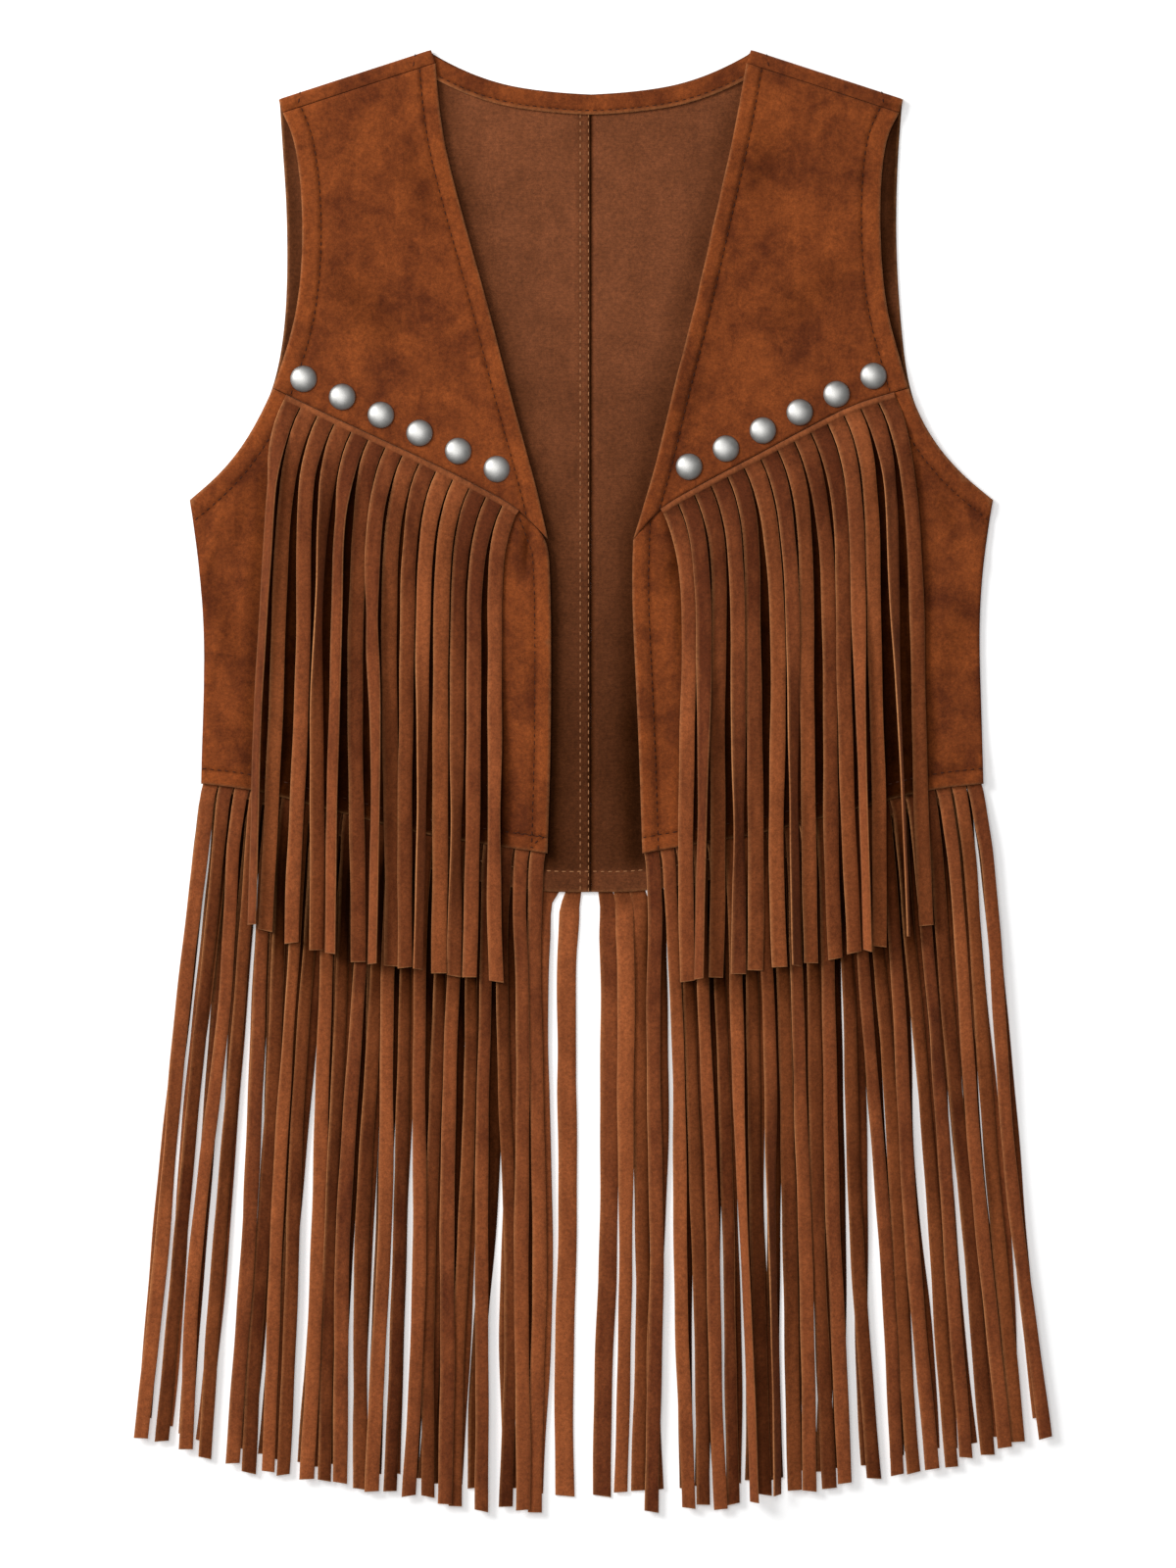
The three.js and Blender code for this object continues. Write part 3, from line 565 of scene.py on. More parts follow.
def refined(sheet):
    """The points and faces of a sheet, subdivided"""
    mesh = bpy.data.meshes.new("sheet")
    sheet.to_mesh(mesh)
    sheet.free()
    piece = linked("sheet", mesh)
    fine = piece.modifiers.new("fine", "SUBSURF")
    fine.levels = LEVELS
    fine.render_levels = LEVELS
    fine.boundary_smooth = "PRESERVE_CORNERS"
    made = evaluated(piece)
    points = np.array([vert.co for vert in made.vertices])
    faces = [list(face.vertices) for face in made.polygons]
    bpy.data.objects.remove(piece)
    bpy.data.meshes.remove(mesh)
    bpy.data.meshes.remove(made)
    return points, faces


def crossed(points, faces):
    """Each face's normal, as long as twice its area, and its corners"""
    corners = np.array([face if len(face) == 4 else face + face[-1:] for face in faces])
    a, b, c, d = (points[corners[:, k]] for k in range(4))
    return np.cross(c - a, d - b), corners


def normals_of(points, faces):
    """Each point's normal, from the faces around it"""
    total = np.zeros_like(points)
    normal, corners = crossed(points, faces)
    for k in range(4):
        np.add.at(total, corners[:, k], normal)
    return total / np.maximum(np.linalg.norm(total, axis=1), 1e-12)[:, None]


def rim_of(faces):
    """The edges of a sheet that only one face has, each from one point to the next"""
    edges = {(a, b) for face in faces for a, b in zip(face, face[1:] + face[:1])}
    return {a: b for a, b in edges if (b, a) not in edges}


def shell(name, points, faces, half, marks=None, floor=None):
    """A closed wall about a sheet: its own faces, then those of the other side, then the rim.

    The marks are values on its points that the material reads.
    """
    count = len(points)
    normal = normals_of(points, faces)
    half = np.broadcast_to(half, (count,))[:, None]
    both = np.concatenate([points + normal * half, points - normal * half])
    if floor is not None:
        both[both[:, 2] < floor, 2] = 0.0
    walls = list(faces)
    walls += [[number + count for number in reversed(face)] for face in faces]
    walls += [[b, a, a + count, b + count] for a, b in rim_of(faces).items()]
    mesh = bpy.data.meshes.new(name)
    mesh.from_pydata(both.tolist(), [], walls)
    for mark, values in (marks or {}).items():
        layer = mesh.attributes.new(mark, "FLOAT", "POINT")
        layer.data.foreach_set("value", np.concatenate([values, values]).astype(np.float32))
    mesh.update()
    return mesh


def area_of(points, faces):
    return float(np.linalg.norm(crossed(points, faces)[0], axis=1).sum() / 2)


def outline_of(points, faces, sign):
    """A panel's outline in millimetres, anticlockwise once its side is mirrored to the right"""
    ahead = rim_of(faces)
    loop = [next(iter(ahead))]
    while ahead[loop[-1]] != loop[0]:
        loop.append(ahead[loop[-1]])
    outline = points[loop, :2] / MM * (sign, 1)
    x, y = outline.T
    turning = np.sum(x * np.roll(y, -1) - y * np.roll(x, -1))
    return outline if turning > 0 else outline[::-1]


def stretch(outline, start, end):
    """The shorter way along an outline between the points nearest two places"""
    count = len(outline)
    ends = [int(np.argmin(np.hypot(*(outline - place).T))) for place in (start, end)]
    ways = []
    for first, last in (ends, ends[::-1]):
        ways.append(outline[np.arange(first, first + (last - first) % count + 1) % count])
    return min(ways, key=length_of)


def beside(line, away):
    """A line moved to its left"""
    run = np.gradient(line, axis=0)
    run /= np.linalg.norm(run, axis=1)[:, None]
    return line + away * np.stack([-run[:, 1], run[:, 0]], 1)


def inset_line(edge, inset):
    """A line beside an edge, run on past both its ends"""
    line = evenly(edge, 2.0)
    start, end = line[0] - line[1], line[-1] - line[-2]
    reach = np.arange(1, 9)[:, None]
    return beside(np.concatenate([(line[0] + start * reach)[::-1], line, line[-1] + end * reach]), inset)


def nearest(places, line):
    """Each place's distance to a line of close points, and how far along the line it is"""
    found = np.full(len(places), np.inf)
    along = np.zeros(len(places))
    gone = gone_along(line)
    batch = 4000
    for start in range(0, len(places), batch):
        part = slice(start, start + batch)
        gap = np.linalg.norm(places[part][:, None] - line[None], axis=2)
        found[part] = gap.min(1)
        along[part] = gone[gap.argmin(1)]
    return found, along


def ridge(places, crease):
    """0 to 1: how near each place is to a crease, fading to its two ends"""
    start, end = np.array(crease["line"], float).reshape(2, 2)
    run = end - start
    along = (places - start) @ run / (run @ run)
    aside = np.abs(np.cross(places - start, run)) / np.linalg.norm(run) / crease["width"]
    return np.where((along > 0) & (along < 1), np.sin(math.pi * np.clip(along, 0, 1)) * np.exp(-aside**2), 0)


def surface_of(mesh):
    """A mesh as a surface that a line can be dropped on"""
    corners = [face.vertices[:] for face in mesh.polygons]
    return BVHTree.FromPolygons([vert.co for vert in mesh.vertices], corners)


def drop(line, sign, tree):
    """The places of a flat line on the surface below it, without those that miss it"""
    found = []
    for x, y in line:
        hit, normal, _, _ = tree.ray_cast(Vector((sign * x * MM, y * MM, 0.1)), Vector((0, 0, -1)))
        if hit is not None and normal.z > 0.5:
            found.append(hit)
    return found


def painted_hollow_shade(kind, side, places, level):
    """Painted shade on each place of a panel: in deep creases, and where it lies under or behind another piece
    """
    dark = np.zeros(len(places))
    # Painted shade in the deep creases
    for crease in CREASES[kind]:
        if crease["side"] == side and crease["height"] < -0.45:
            dark = np.maximum(dark, -0.3 * crease["height"] * ridge(places, crease))
    x, y = places.T
    # Painted shadow under the chest fringe and beside it
    if kind == "front_lower":
        strands = strands_of(f"chest_fringe_{side}", FRINGES["chest_fringe"]["rows"])
        lines = [strands[number].mean(1)[::-1, :2] / MM * (SIDES[side], 1) for number in (0, -1)]
        spans = [np.interp(y, line[:, 1], line[:, 0]) for line in lines]
        inner, outer = x - spans[0], spans[1] - x
        dark = np.maximum(dark, 0.93 * fade(inner, -9, 4) * fade(outer, -4, 5))
        start, full, deep = FRINGE_SHADE[side]["inner"]
        dark = np.maximum(dark, deep * fade(inner, -11, -3.5) * fade(outer, -4, 5) * fade(y, start, full))
        start, full, deep = FRINGE_SHADE[side]["outer"]
        dark = np.maximum(dark, deep * fade(outer, -15, -4) * fade(inner, -9, 4) * fade(y, start, full))
    # Painted shade on the inside of the back: darker towards the hem with a lighter hem band, behind the
    # armholes and beside the front edges, on its lower level only
    if kind == "back":
        edges = (evenly(np.array(line, float), 2.0) for line in FRONT_EDGES.values())
        opening, armhole = (nearest(places, edge)[0] for edge in edges)
        deep = 0.56 * (1 - fade(y, -20, 310)) - 0.19 * (1 - fade(y, -52, -49))
        deep = np.maximum(deep, ARMHOLE_SHADE[side] * np.exp(-((armhole / 9) ** 2)) * fade(x, 120, 150))
        dark = np.clip(deep + 0.34 * np.exp(-((opening / 10) ** 2)), 0, 0.9) * (level < 3)
    return dark


def sewn_panel(kind, side, slot, material):
    """A panel: a fine shell on its solid's surface, with its creases, grooves and lifted edges"""
    sewing = settings().vest_sewing
    sign = SIDES[side]
    node = f"{kind}_{side}"
    corners = CORNERS[kind]
    middle = Vector((sign * corners["middle"][0] * MM, corners["middle"][1] * MM))
    points, faces = refined(upper_sheet(node, middle))
    points = points - normals_of(points, faces) * PANEL_HALF * MM
    places = points[:, :2] / MM * (sign, 1)
    outline = outline_of(points, faces, sign)
    edge_gap, _ = nearest(places, evenly(outline, 1.5))
    height = 0.16 * drift(*places.T, 26, 5 + sign) + 0.09 * drift(*places.T, 11, 21 + sign)
    height *= fade(edge_gap, 0, 6)
    tone_and_light = np.zeros(len(points))
    for crease in CREASES[kind]:
        if crease["side"] == side:
            near = ridge(places, crease)
            height += crease["height"] * near
            # Raised creases are lighter: a painted highlight
            tone_and_light += 0.9 * max(0.0, crease["height"]) * near
    for lift in LIFTS[kind]:
        gap, along = nearest(places, evenly(stretch(outline, corners[lift["from"]], corners[lift["to"]]), 1.5))
        fading = fade(places[:, 1], -38, 10) * (1 - fade(places[:, 1], 350, 392))
        waver = 1 + 0.35 * np.sin(places[:, 1] / 33 + sign)
        height += lift["height"] * np.exp(-((gap / lift["reach"]) ** 2)) * fading * waver
    dark = painted_hollow_shade(kind, side, places, points[:, 2] / MM)
    free_gap = np.full(len(points), 99.0)
    lines = []
    for seam in SEAMS[kind]:
        if seam.get("side", side) != side:
            continue
        edge = stretch(outline, corners[seam["from"]], corners[seam["to"]])
        line = evenly(inset_line(edge, seam["inset"]), 1.0)
        lines.append((line, min(1.4, 0.7 * seam["inset"])))
        away, _ = nearest(places, evenly(edge, 1.5))
        if seam["to"] != "neck_centre":
            free_gap = np.minimum(free_gap, away)
        if kind != "back":
            band = fade(away, 0, 1.6) * (1 - fade(away, seam["inset"] - 2.4, seam["inset"] - 0.5))
            height += 0.35 * band
            tone_and_light = np.maximum(tone_and_light, 0.75 * band)
        gap, along = nearest(places, line)
        pressed = np.exp(-((gap / 1.3) ** 2))
        height -= sewing.groove / MM * pressed
        pucker = np.sin(along * math.tau / 6.6 + 1.6 * drift(*places.T, 14, 3))
        height += sewing.pucker / MM * pucker * np.exp(-((gap / 3.6) ** 2))
        # Painted shade in each row's groove, less on the inside of the back
        dark = np.maximum(dark, sewing.mark * (INSIDE_MARK if kind == "back" else 1.0) * pressed)
    if kind == "back":
        height *= fade(3 - points[:, 2] / MM, 0, 1)
        height += (0.35 if side == "left" else 0.0) * (1 - fade(places[:, 0], 7.8, 9.2))
        points[:, 0] -= sign * BACK_GAP * MM * (1 - fade(places[:, 0], 0.3, 2.0))
        # Painted shade along the centre seam
        dark = np.maximum(dark, 0.9 * np.exp(-(((places[:, 0] - 0.2) / 0.8) ** 2)) * (places[:, 1] < 384))
    if kind == "front_yoke":
        height += 0.3 * fade(edge_gap, 0, 16)
    points[:, 2] += height * MM
    if kind != "back":
        room = points[:, 2] / MM - FRONT_REST
        points[:, 2] = (FRONT_REST + (room + np.sqrt(room**2 + 0.04)) / 2) * MM
    # Pale line along the stitched edges: partly the hide's paler edge, partly a painted highlight
    cut = 0.45 * np.exp(-((free_gap / 0.8) ** 2))
    thick = PANEL_HALF * (0.6 + 0.4 * fade(edge_gap, 0, 1.8))
    marks = {"dark": dark, "cut": cut, "tone_and_light": tone_and_light}
    mesh = shell(node, points, faces, thick * MM, marks, floor=0.35 * MM if kind == "back" else None)
    piece = show(f"{node}_hide", mesh, material)
    tree = surface_of(mesh)
    if kind == "back":
        mesh.materials.append(outer_suede())
        outside = [number >= len(faces) for number in range(len(mesh.polygons))]
        mesh.polygons.foreach_set("material_index", outside)
    clear = evenly(np.concatenate([outline, outline[:1]]), 1.0)
    for line, margin in lines:
        kept = nearest(line, clear)[0] > margin
        if kind == "back":
            kept &= line[:, 1] < FACING_LOW
        seam_rows.setdefault(kind, []).append(drop(line[kept], sign, tree))
    if kind == "back":
        short = [evenly(np.array(row, float).reshape(2, 2), 1.0) for row in SHOULDER_ROWS]
        seam_rows.setdefault("shoulder", []).extend(drop(row, sign, tree) for row in short)
    in_place_of(piece, slot, node)
    return piece, area_of(points, faces), outline


def new_tree(name, sizes):
    """A geometry nodes tree with named inputs, what it is given, and the inputs' identifiers"""
    tree = bpy.data.node_groups.new(name, "GeometryNodeTree")
    sockets = {}
    for label, kind in {"Geometry": "Geometry", **sizes, "Seed": "Int", "Material": "Material"}.items():
        made = tree.interface.new_socket(name=label, in_out="INPUT", socket_type="NodeSocket" + kind)
        sockets[label] = made.identifier
    tree.interface.new_socket(name="Geometry", in_out="OUTPUT", socket_type="NodeSocketGeometry")
    return tree, tree.nodes.new("NodeGroupInput").outputs, sockets


def end_tree(tree, row, material):
    """Makes a tree's instances real and gives them their material"""
    solid = add_node(tree, "GeometryNodeRealizeInstances", {0: row.outputs[0]})
    finished = add_node(tree, "GeometryNodeSetMaterial", {"Geometry": solid.outputs[0], "Material": material})
    tree.links.new(finished.outputs[0], tree.nodes.new("NodeGroupOutput").inputs[0])


def stitch_tree():
    """Geometry nodes that lay one stitch after another along a path"""
    sizes = {"Pitch": "Float", "Stitch Length": "Float", "Thread": "Float"}
    tree, given, sockets = new_tree("Stitches", sizes)
    path = add_node(tree, "GeometryNodeMeshToCurve", {"Mesh": given["Geometry"]}).outputs[0]
    path = add_node(tree, "GeometryNodeResampleCurve", {"Curve": path, "Length": given["Pitch"]}, mode="LENGTH")
    turn = add_node(tree, "FunctionNodeAlignRotationToVector",
                    {"Vector": tree.nodes.new("GeometryNodeInputTangent").outputs[0]}, axis="X", pivot_axis="Z")
    stitch = add_node(tree, "GeometryNodeMeshUVSphere", {"Segments": 6, "Rings": 5, "Radius": 0.5})
    size = add_node(tree, "ShaderNodeCombineXYZ",
                    {0: given["Stitch Length"], 1: given["Thread"], 2: given["Thread"]}).outputs[0]
    uneven = add_node(tree, "FunctionNodeRandomValue", {"Seed": given["Seed"]}, data_type="FLOAT_VECTOR")
    uneven.inputs["Min"].default_value = (0.82, 0.85, 0.8)
    uneven.inputs["Max"].default_value = (1.08, 1.15, 1.1)
    size = add_node(tree, "ShaderNodeVectorMath", {0: size, 1: uneven.outputs["Value"]}, operation="MULTIPLY")
    row = add_node(tree, "GeometryNodeInstanceOnPoints", {
        "Points": path.outputs[0], "Instance": stitch.outputs["Mesh"], "Rotation": turn.outputs[0],
        "Scale": size.outputs[0]})
    end_tree(tree, row, given["Material"])
    return tree, sockets


def stud_tree():
    """Geometry nodes that set a stud on each point"""
    tree, given, sockets = new_tree("Studs", {"Stud": "Object"})
    stud = add_node(tree, "GeometryNodeObjectInfo", {"Object": given["Stud"]})
    turned = add_node(tree, "FunctionNodeRandomValue", {"Seed": given["Seed"]}, data_type="FLOAT_VECTOR")
    turned.inputs["Min"].default_value = (-0.035, -0.035, 0.0)
    turned.inputs["Max"].default_value = (0.035, 0.035, math.tau)
    row = add_node(tree, "GeometryNodeInstanceOnPoints", {
        "Points": given["Geometry"], "Instance": stud.outputs["Geometry"], "Rotation": turned.outputs["Value"]})
    end_tree(tree, row, given["Material"])
    return tree, sockets


def grown(name, mesh, made, values):
    """A piece that geometry nodes grow from a mesh of points, made a plain mesh"""
    tree, sockets = made
    base = linked(name + "_path", mesh)
    grower = base.modifiers.new("grow", "NODES")
    grower.node_group = tree
    for socket, value in values.items():
        grower[sockets[socket]] = value
    plain = evaluated(base)
    base.modifiers.clear()
    bpy.data.objects.remove(base)
    bpy.data.meshes.remove(mesh)
    plain.name = name
    return show(name, plain)


def rows_mesh(name, rows):
    points = [point for row in rows for point in row]
    edges = []
    count = 0
    for row in rows:
        edges += [(count + i, count + i + 1) for i in range(len(row) - 1)]
        count += len(row)
    mesh = bpy.data.meshes.new(name)
    mesh.from_pydata(points, edges, [])
    return mesh


def stitched(name, rows, material, slot):
    sewing = settings().vest_sewing
    values = {"Pitch": sewing.pitch, "Stitch Length": sewing.length, "Thread": sewing.thread,
              "Seed": sewing.seed, "Material": material}
    piece = grown(name, rows_mesh(name, rows), stitch_tree(), values)
    return in_place_of(piece, slot)


def strands_of(node, rows):
    """The strands of a fringe's solid from the centre outwards, each a list of edge pairs from root to tip"""
    comb = bmesh.new()
    comb.from_mesh(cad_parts[node].data)
    bmesh.ops.remove_doubles(comb, verts=comb.verts, dist=1e-6)
    low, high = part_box(node)
    middle = (low.y + high.y) / 2
    ends = [face for face in comb.faces if face.normal.y < -0.8 and face.calc_center_median().y < middle]
    strands = []
    while ends:
        face = ends.pop()
        other = next(each for each in ends if len(set(each.verts) & set(face.verts)) == 2)
        ends.remove(other)
        ring = set(face.verts) | set(other.verts)
        seen = set(ring)
        rings = [edge_pair(ring)]
        for _ in range(rows):
            ring = {edge.other_vert(vert) for vert in ring for edge in vert.link_edges} - seen
            if len(ring) != 4:
                raise ValueError(f"{node}: a row of a strand has {len(ring)} points")
            seen |= ring
            pair = edge_pair(ring)
            before = rings[-1]
            if (pair[1] - pair[0]) @ (before[1] - before[0]) < 0:
                pair = pair[::-1]
            rings.append(pair)
        strands.append(np.array(rings[::-1]))
    comb.free()
    for strand in strands:
        if strand[-1][0][0] > strand[-1][1][0]:
            strand[:] = strand[:, ::-1]
    return sorted(strands, key=lambda strand: abs(strand[0][:, 0].mean()))


def edge_pair(ring):
    """The middles of a strand's two edges, from the four corners of its section"""
    a, b, c, d = (np.array(vert.co) for vert in ring)
    ways = [((a, b), (c, d)), ((a, c), (b, d)), ((a, d), (b, c))]
    way = min(ways, key=lambda way: sum(np.linalg.norm(one - two) for one, two in way))
    return np.array([(one + two) / 2 for one, two in way])


def smooth_rows(strand, share):
    """A strand's edge pairs at each share of its length, on a smooth curve through its rows"""
    middle = strand.mean(1)
    gone = gone_along(middle)
    at = share * gone[-1]
    run = np.zeros_like(strand)
    step = np.diff(gone)[:, None, None]
    slope = np.diff(strand, axis=0) / step
    weight = step[:-1] / (step[:-1] + step[1:])
    run[1:-1] = slope[:-1] * (1 - weight) + slope[1:] * weight
    run[0], run[-1] = slope[0], slope[-1]
    row = np.clip(np.searchsorted(gone, at, side="right") - 1, 0, len(gone) - 2)
    width = (gone[row + 1] - gone[row])[:, None, None]
    t = ((at - gone[row]) / (gone[row + 1] - gone[row]))[:, None, None]
    start, end = strand[row], strand[row + 1]
    return (
        (2 * t**3 - 3 * t**2 + 1) * start + (t**3 - 2 * t**2 + t) * width * run[row]
        + (3 * t**2 - 2 * t**3) * end + (t**3 - t**2) * width * run[row + 1]
    )


def turned(vectors, axis, angle):
    """Vectors turned about their own axes by their own angles"""
    cos, sin = np.cos(angle)[:, None], np.sin(angle)[:, None]
    return vectors * cos + np.cross(axis, vectors) * sin


def cut_strand(strand, number, sizes, wide, twist, turn, moved, sign):
    """One strip's points in rows and columns, its pale cut edges with a painted highlight on the left, its own
    lighter and darker places, and painted shade on its right side
    """
    random = np.random.default_rng(number)
    length = length_of(strand.mean(1))
    count = max(8, round(length / sizes.spacing))
    share = np.concatenate([np.linspace(0, 1 - 0.0006 / length, count), [1.0]])
    pairs = smooth_rows(strand, share)
    left, right = pairs[:, 0], pairs[:, 1]
    middle = (left + right) / 2
    aside = (right - left) / 2
    width = np.linalg.norm(aside, axis=1)[:, None]
    run = np.gradient(middle, axis=0)
    up = np.cross(aside, run)
    up *= np.where(up[:, 2] < 0, -1, 1)[:, None]
    up /= np.linalg.norm(up, axis=1)[:, None]
    gone = share * length / MM
    free = fade(gone, 6, 45)
    phase = random.uniform(0, math.tau, 6)
    waver = np.stack([np.sin(gone / size + start) for size, start in zip((9, 17, 11, 21), phase)], 1)
    trims = sizes.waver * free[:, None] * (waver[:, ::2] + waver[:, 1::2]) / 2
    grows = 1 - random.uniform(0.0, 0.12) * free
    grows += wide * (0.24 + 0.76 * fade(gone, 0, 5)) * (1 - fade(gone, 100, 210))
    grows += moved[3] * fade(gone, 0, 14)
    sway = sizes.sway * random.uniform(-1, 1) * free * np.sin(gone / random.uniform(38, 60) + phase[4])
    shift = sign * np.interp(gone, (0, 110, 220), moved[:3]) * MM
    if moved[0] > 0:
        shift *= fade(gone, 0, 8)
    middle = middle + (sway + shift)[:, None] * aside / width
    curl = sizes.curl * free * (random.uniform(-1.0, 0.6) + 0.5 * np.sin(gone / 47 + phase[5]))
    along = run / np.linalg.norm(run, axis=1)[:, None]
    roll = sizes.roll * free * (random.uniform(-1, 1) + 0.5 * np.sin(gone / 53 + phase[3]))
    if random.random() < sizes.twisted:
        place, reach = random.uniform(0.3, 0.85) * gone[-1], random.uniform(22, 60)
        bend = twist * random.choice((-1, 1)) * random.uniform(0.3, 0.75)
        roll += bend * free * np.exp(-(((gone - place) / reach) ** 2))
    roll *= 1 - np.abs(aside[:, 2]) / width[:, 0]
    roll += turn * fade(gone, 12, 50)
    middle = middle + up * (width * np.abs(np.sin(roll))[:, None] * 0.8)
    aside, up = turned(aside, along, roll), turned(up, along, roll)
    points = []
    for column in ACROSS:
        trim = trims[:, 0] * (column < 0) + trims[:, 1] * (column > 0)
        reach = aside * column * grows[:, None] + aside / width * (trim * abs(column))[:, None]
        lift = curl * (column**2 - 0.4)
        points.append(middle + reach + up * lift[:, None])
    points = np.stack(points, 1)
    skew = random.uniform(-1, 1) * sizes.skew
    ends = np.array([0.35, 1.0])
    points[-2:] += along[-2:, None] * (ends[:, None] * ACROSS * skew)[:, :, None]
    cut = np.zeros(points.shape[:2])
    # Painted highlight: the left cut edge much paler than the right, as if lit from the left
    lit = 0.75 + 0.35 * np.sin(gone / 23 + phase[0]) * np.sin(gone / 71 + phase[1])
    lit = np.clip(lit, 0, 1)
    cut[:, 0], cut[:, 1], cut[:, -1] = lit, 0.3 * lit, 0.4 * lit
    cut[-1] = 0.85
    tone_and_light = np.full(cut.shape, random.uniform(-1, 1)) + 0.45 * np.sin(gone / 61 + phase[2])[:, None]
    # Painted shade on the right side of each strip
    dark = 0.26 * np.clip(ACROSS, 0, 1) ** 2 * np.ones(cut.shape)
    return points, cut, tone_and_light, dark


def fringe(kind, side):
    """A fringe cut from one strip of hide, whose uncut edge is its backing"""
    sizes = settings().vest_fringe
    facts = FRINGES[kind]
    node = f"{kind}_{side}"
    seed = SEEDS[node]
    sign = SIDES[side]
    points, halves, faces = [], [], []
    marks = {"cut": [], "tone_and_light": [], "dark": [], "strip": []}
    band_rows = BEAD if facts["bead"] else BEAD[::2]
    count = 0
    tops = []
    columns = len(ACROSS)
    thin = sizes.thickness / 2 * THICKNESS_ACROSS
    strands = strands_of(node, facts["rows"])
    for number, strand in enumerate(strands):
        wide = facts["wide"] if 0 < number < len(strands) - 1 else 0.0
        turn = TURNED.get(node, {}).get(number, 0.0)
        moved = MOVED.get(node, {}).get(number, (0.0, 0.0, 0.0, 0.0))
        made, cut, tone_and_light, dark = cut_strand(
            strand, seed + number, sizes, wide, facts["twist"], turn, moved, sign)
        beside = [strands[near] for near in (number - 1, number + 1) if 0 <= near < len(strands)]
        above = np.mean([near[3:6, :, 2].mean() for near in beside]) - strand[3:6, :, 2].mean()
        shade = facts["shade"]
        gone = np.linalg.norm(made.mean(1) - made[0].mean(0), axis=1)[:, None] / MM
        # Roots darkened, a painted shade, and low parts lightened
        tone_and_light = tone_and_light + facts["root"] * (1 - fade(gone, 15, 110)) + facts["low"] * fade(gone, 160, 250)
        away = np.abs(made[:, :, 0]) / MM
        # Painted shadow of other pieces on the strips
        near_root = 1 - fade(gone, shade["from"], shade["to"])
        near_root = near_root * (1 - fade(away, shade["reach"] - 8, shade["reach"] + 8))
        cast = np.maximum(shade["roots"] * near_root, shade["all"] * (1 - fade(away, 178, 194)))
        dark = dark + cast * fade(away, shade["start"] - 6, shade["start"] + 8)
        # Painted shade under the hem's lip
        dark = np.maximum(dark, facts["lip"] * (1 - fade(gone, 3, 13)))
        # Painted shade on strips lying under their neighbours
        if number > 0 and above > 0.3 * MM:
            dark = dark + facts["under"] * fade(np.arange(len(made)), 0, 6)[:, None]
        if sign < 0:
            made, cut, tone_and_light, dark = made[:, ::-1], cut[:, ::-1], tone_and_light[:, ::-1], dark[:, ::-1]
        root = made[0]
        along = root[-1] - root[0]
        out = np.array([-along[1], along[0], 0.0]) * (1 if sign > 0 else -1)
        out /= np.linalg.norm(out)
        band = []
        for step in band_rows:
            row = root + out * facts["backing"] * MM * step["out"]
            row[:, 2] += facts["bead"] * MM * step["height"]
            band.append(row)
        whole = np.concatenate([np.array(band), made])
        rows = len(whole)
        points.append(whole.reshape(-1, 3))
        lead = len(band)
        # A faint painted highlight on the bead
        lit = np.full((lead, columns), 0.08 if facts["bead"] else 0.0)
        marks["cut"].append(np.concatenate([lit, cut]).ravel())
        marks["tone_and_light"].append(np.concatenate([np.tile(tone_and_light[:1] * 0.2, (lead, 1)), tone_and_light]).ravel())
        marks["dark"].append(np.concatenate([np.zeros((lead, columns)), dark]).ravel())
        halves.append(np.concatenate([np.full((lead, columns), sizes.thickness / 2),
                                      np.tile(thin, (rows - lead, 1))]).ravel())
        marks["strip"].append(np.full(rows * columns, 0.07 * number + 0.01 * (seed % 7)))
        for row in range(rows - 1):
            for column in range(columns - 1):
                corner = count + row * columns + column
                faces.append([corner + columns, corner + columns + 1, corner + 1, corner])
        tops.append(count)
        count += rows * columns
    for first, second in zip(tops, tops[1:]):
        for row in range(len(band_rows)):
            a, b = first + row * columns + columns - 1, second + row * columns
            faces.append([a + columns, b + columns, b, a])
    if sign < 0:
        faces = [face[::-1] for face in faces]
    points = np.concatenate(points)
    marks = {mark: np.concatenate(values) for mark, values in marks.items()}
    mesh = shell(node, points, faces, np.concatenate(halves), marks, floor=0.0)
    piece = show(f"{node}_strips", mesh, strip_suede())
    in_place_of(piece, "fringe_suede", node)
    return piece, area_of(points, faces), points, tops


class VEST_OT_back(bpy.types.Operator):
    """The two halves of the back, which fold over the shoulders"""

    bl_idname = "vest.back"
    bl_label = "Back"

    def execute(self, context):
        for side in SIDES:
            piece, area, outline = sewn_panel("back", side, "suede_inside", inner_suede())
        return {"FINISHED"}


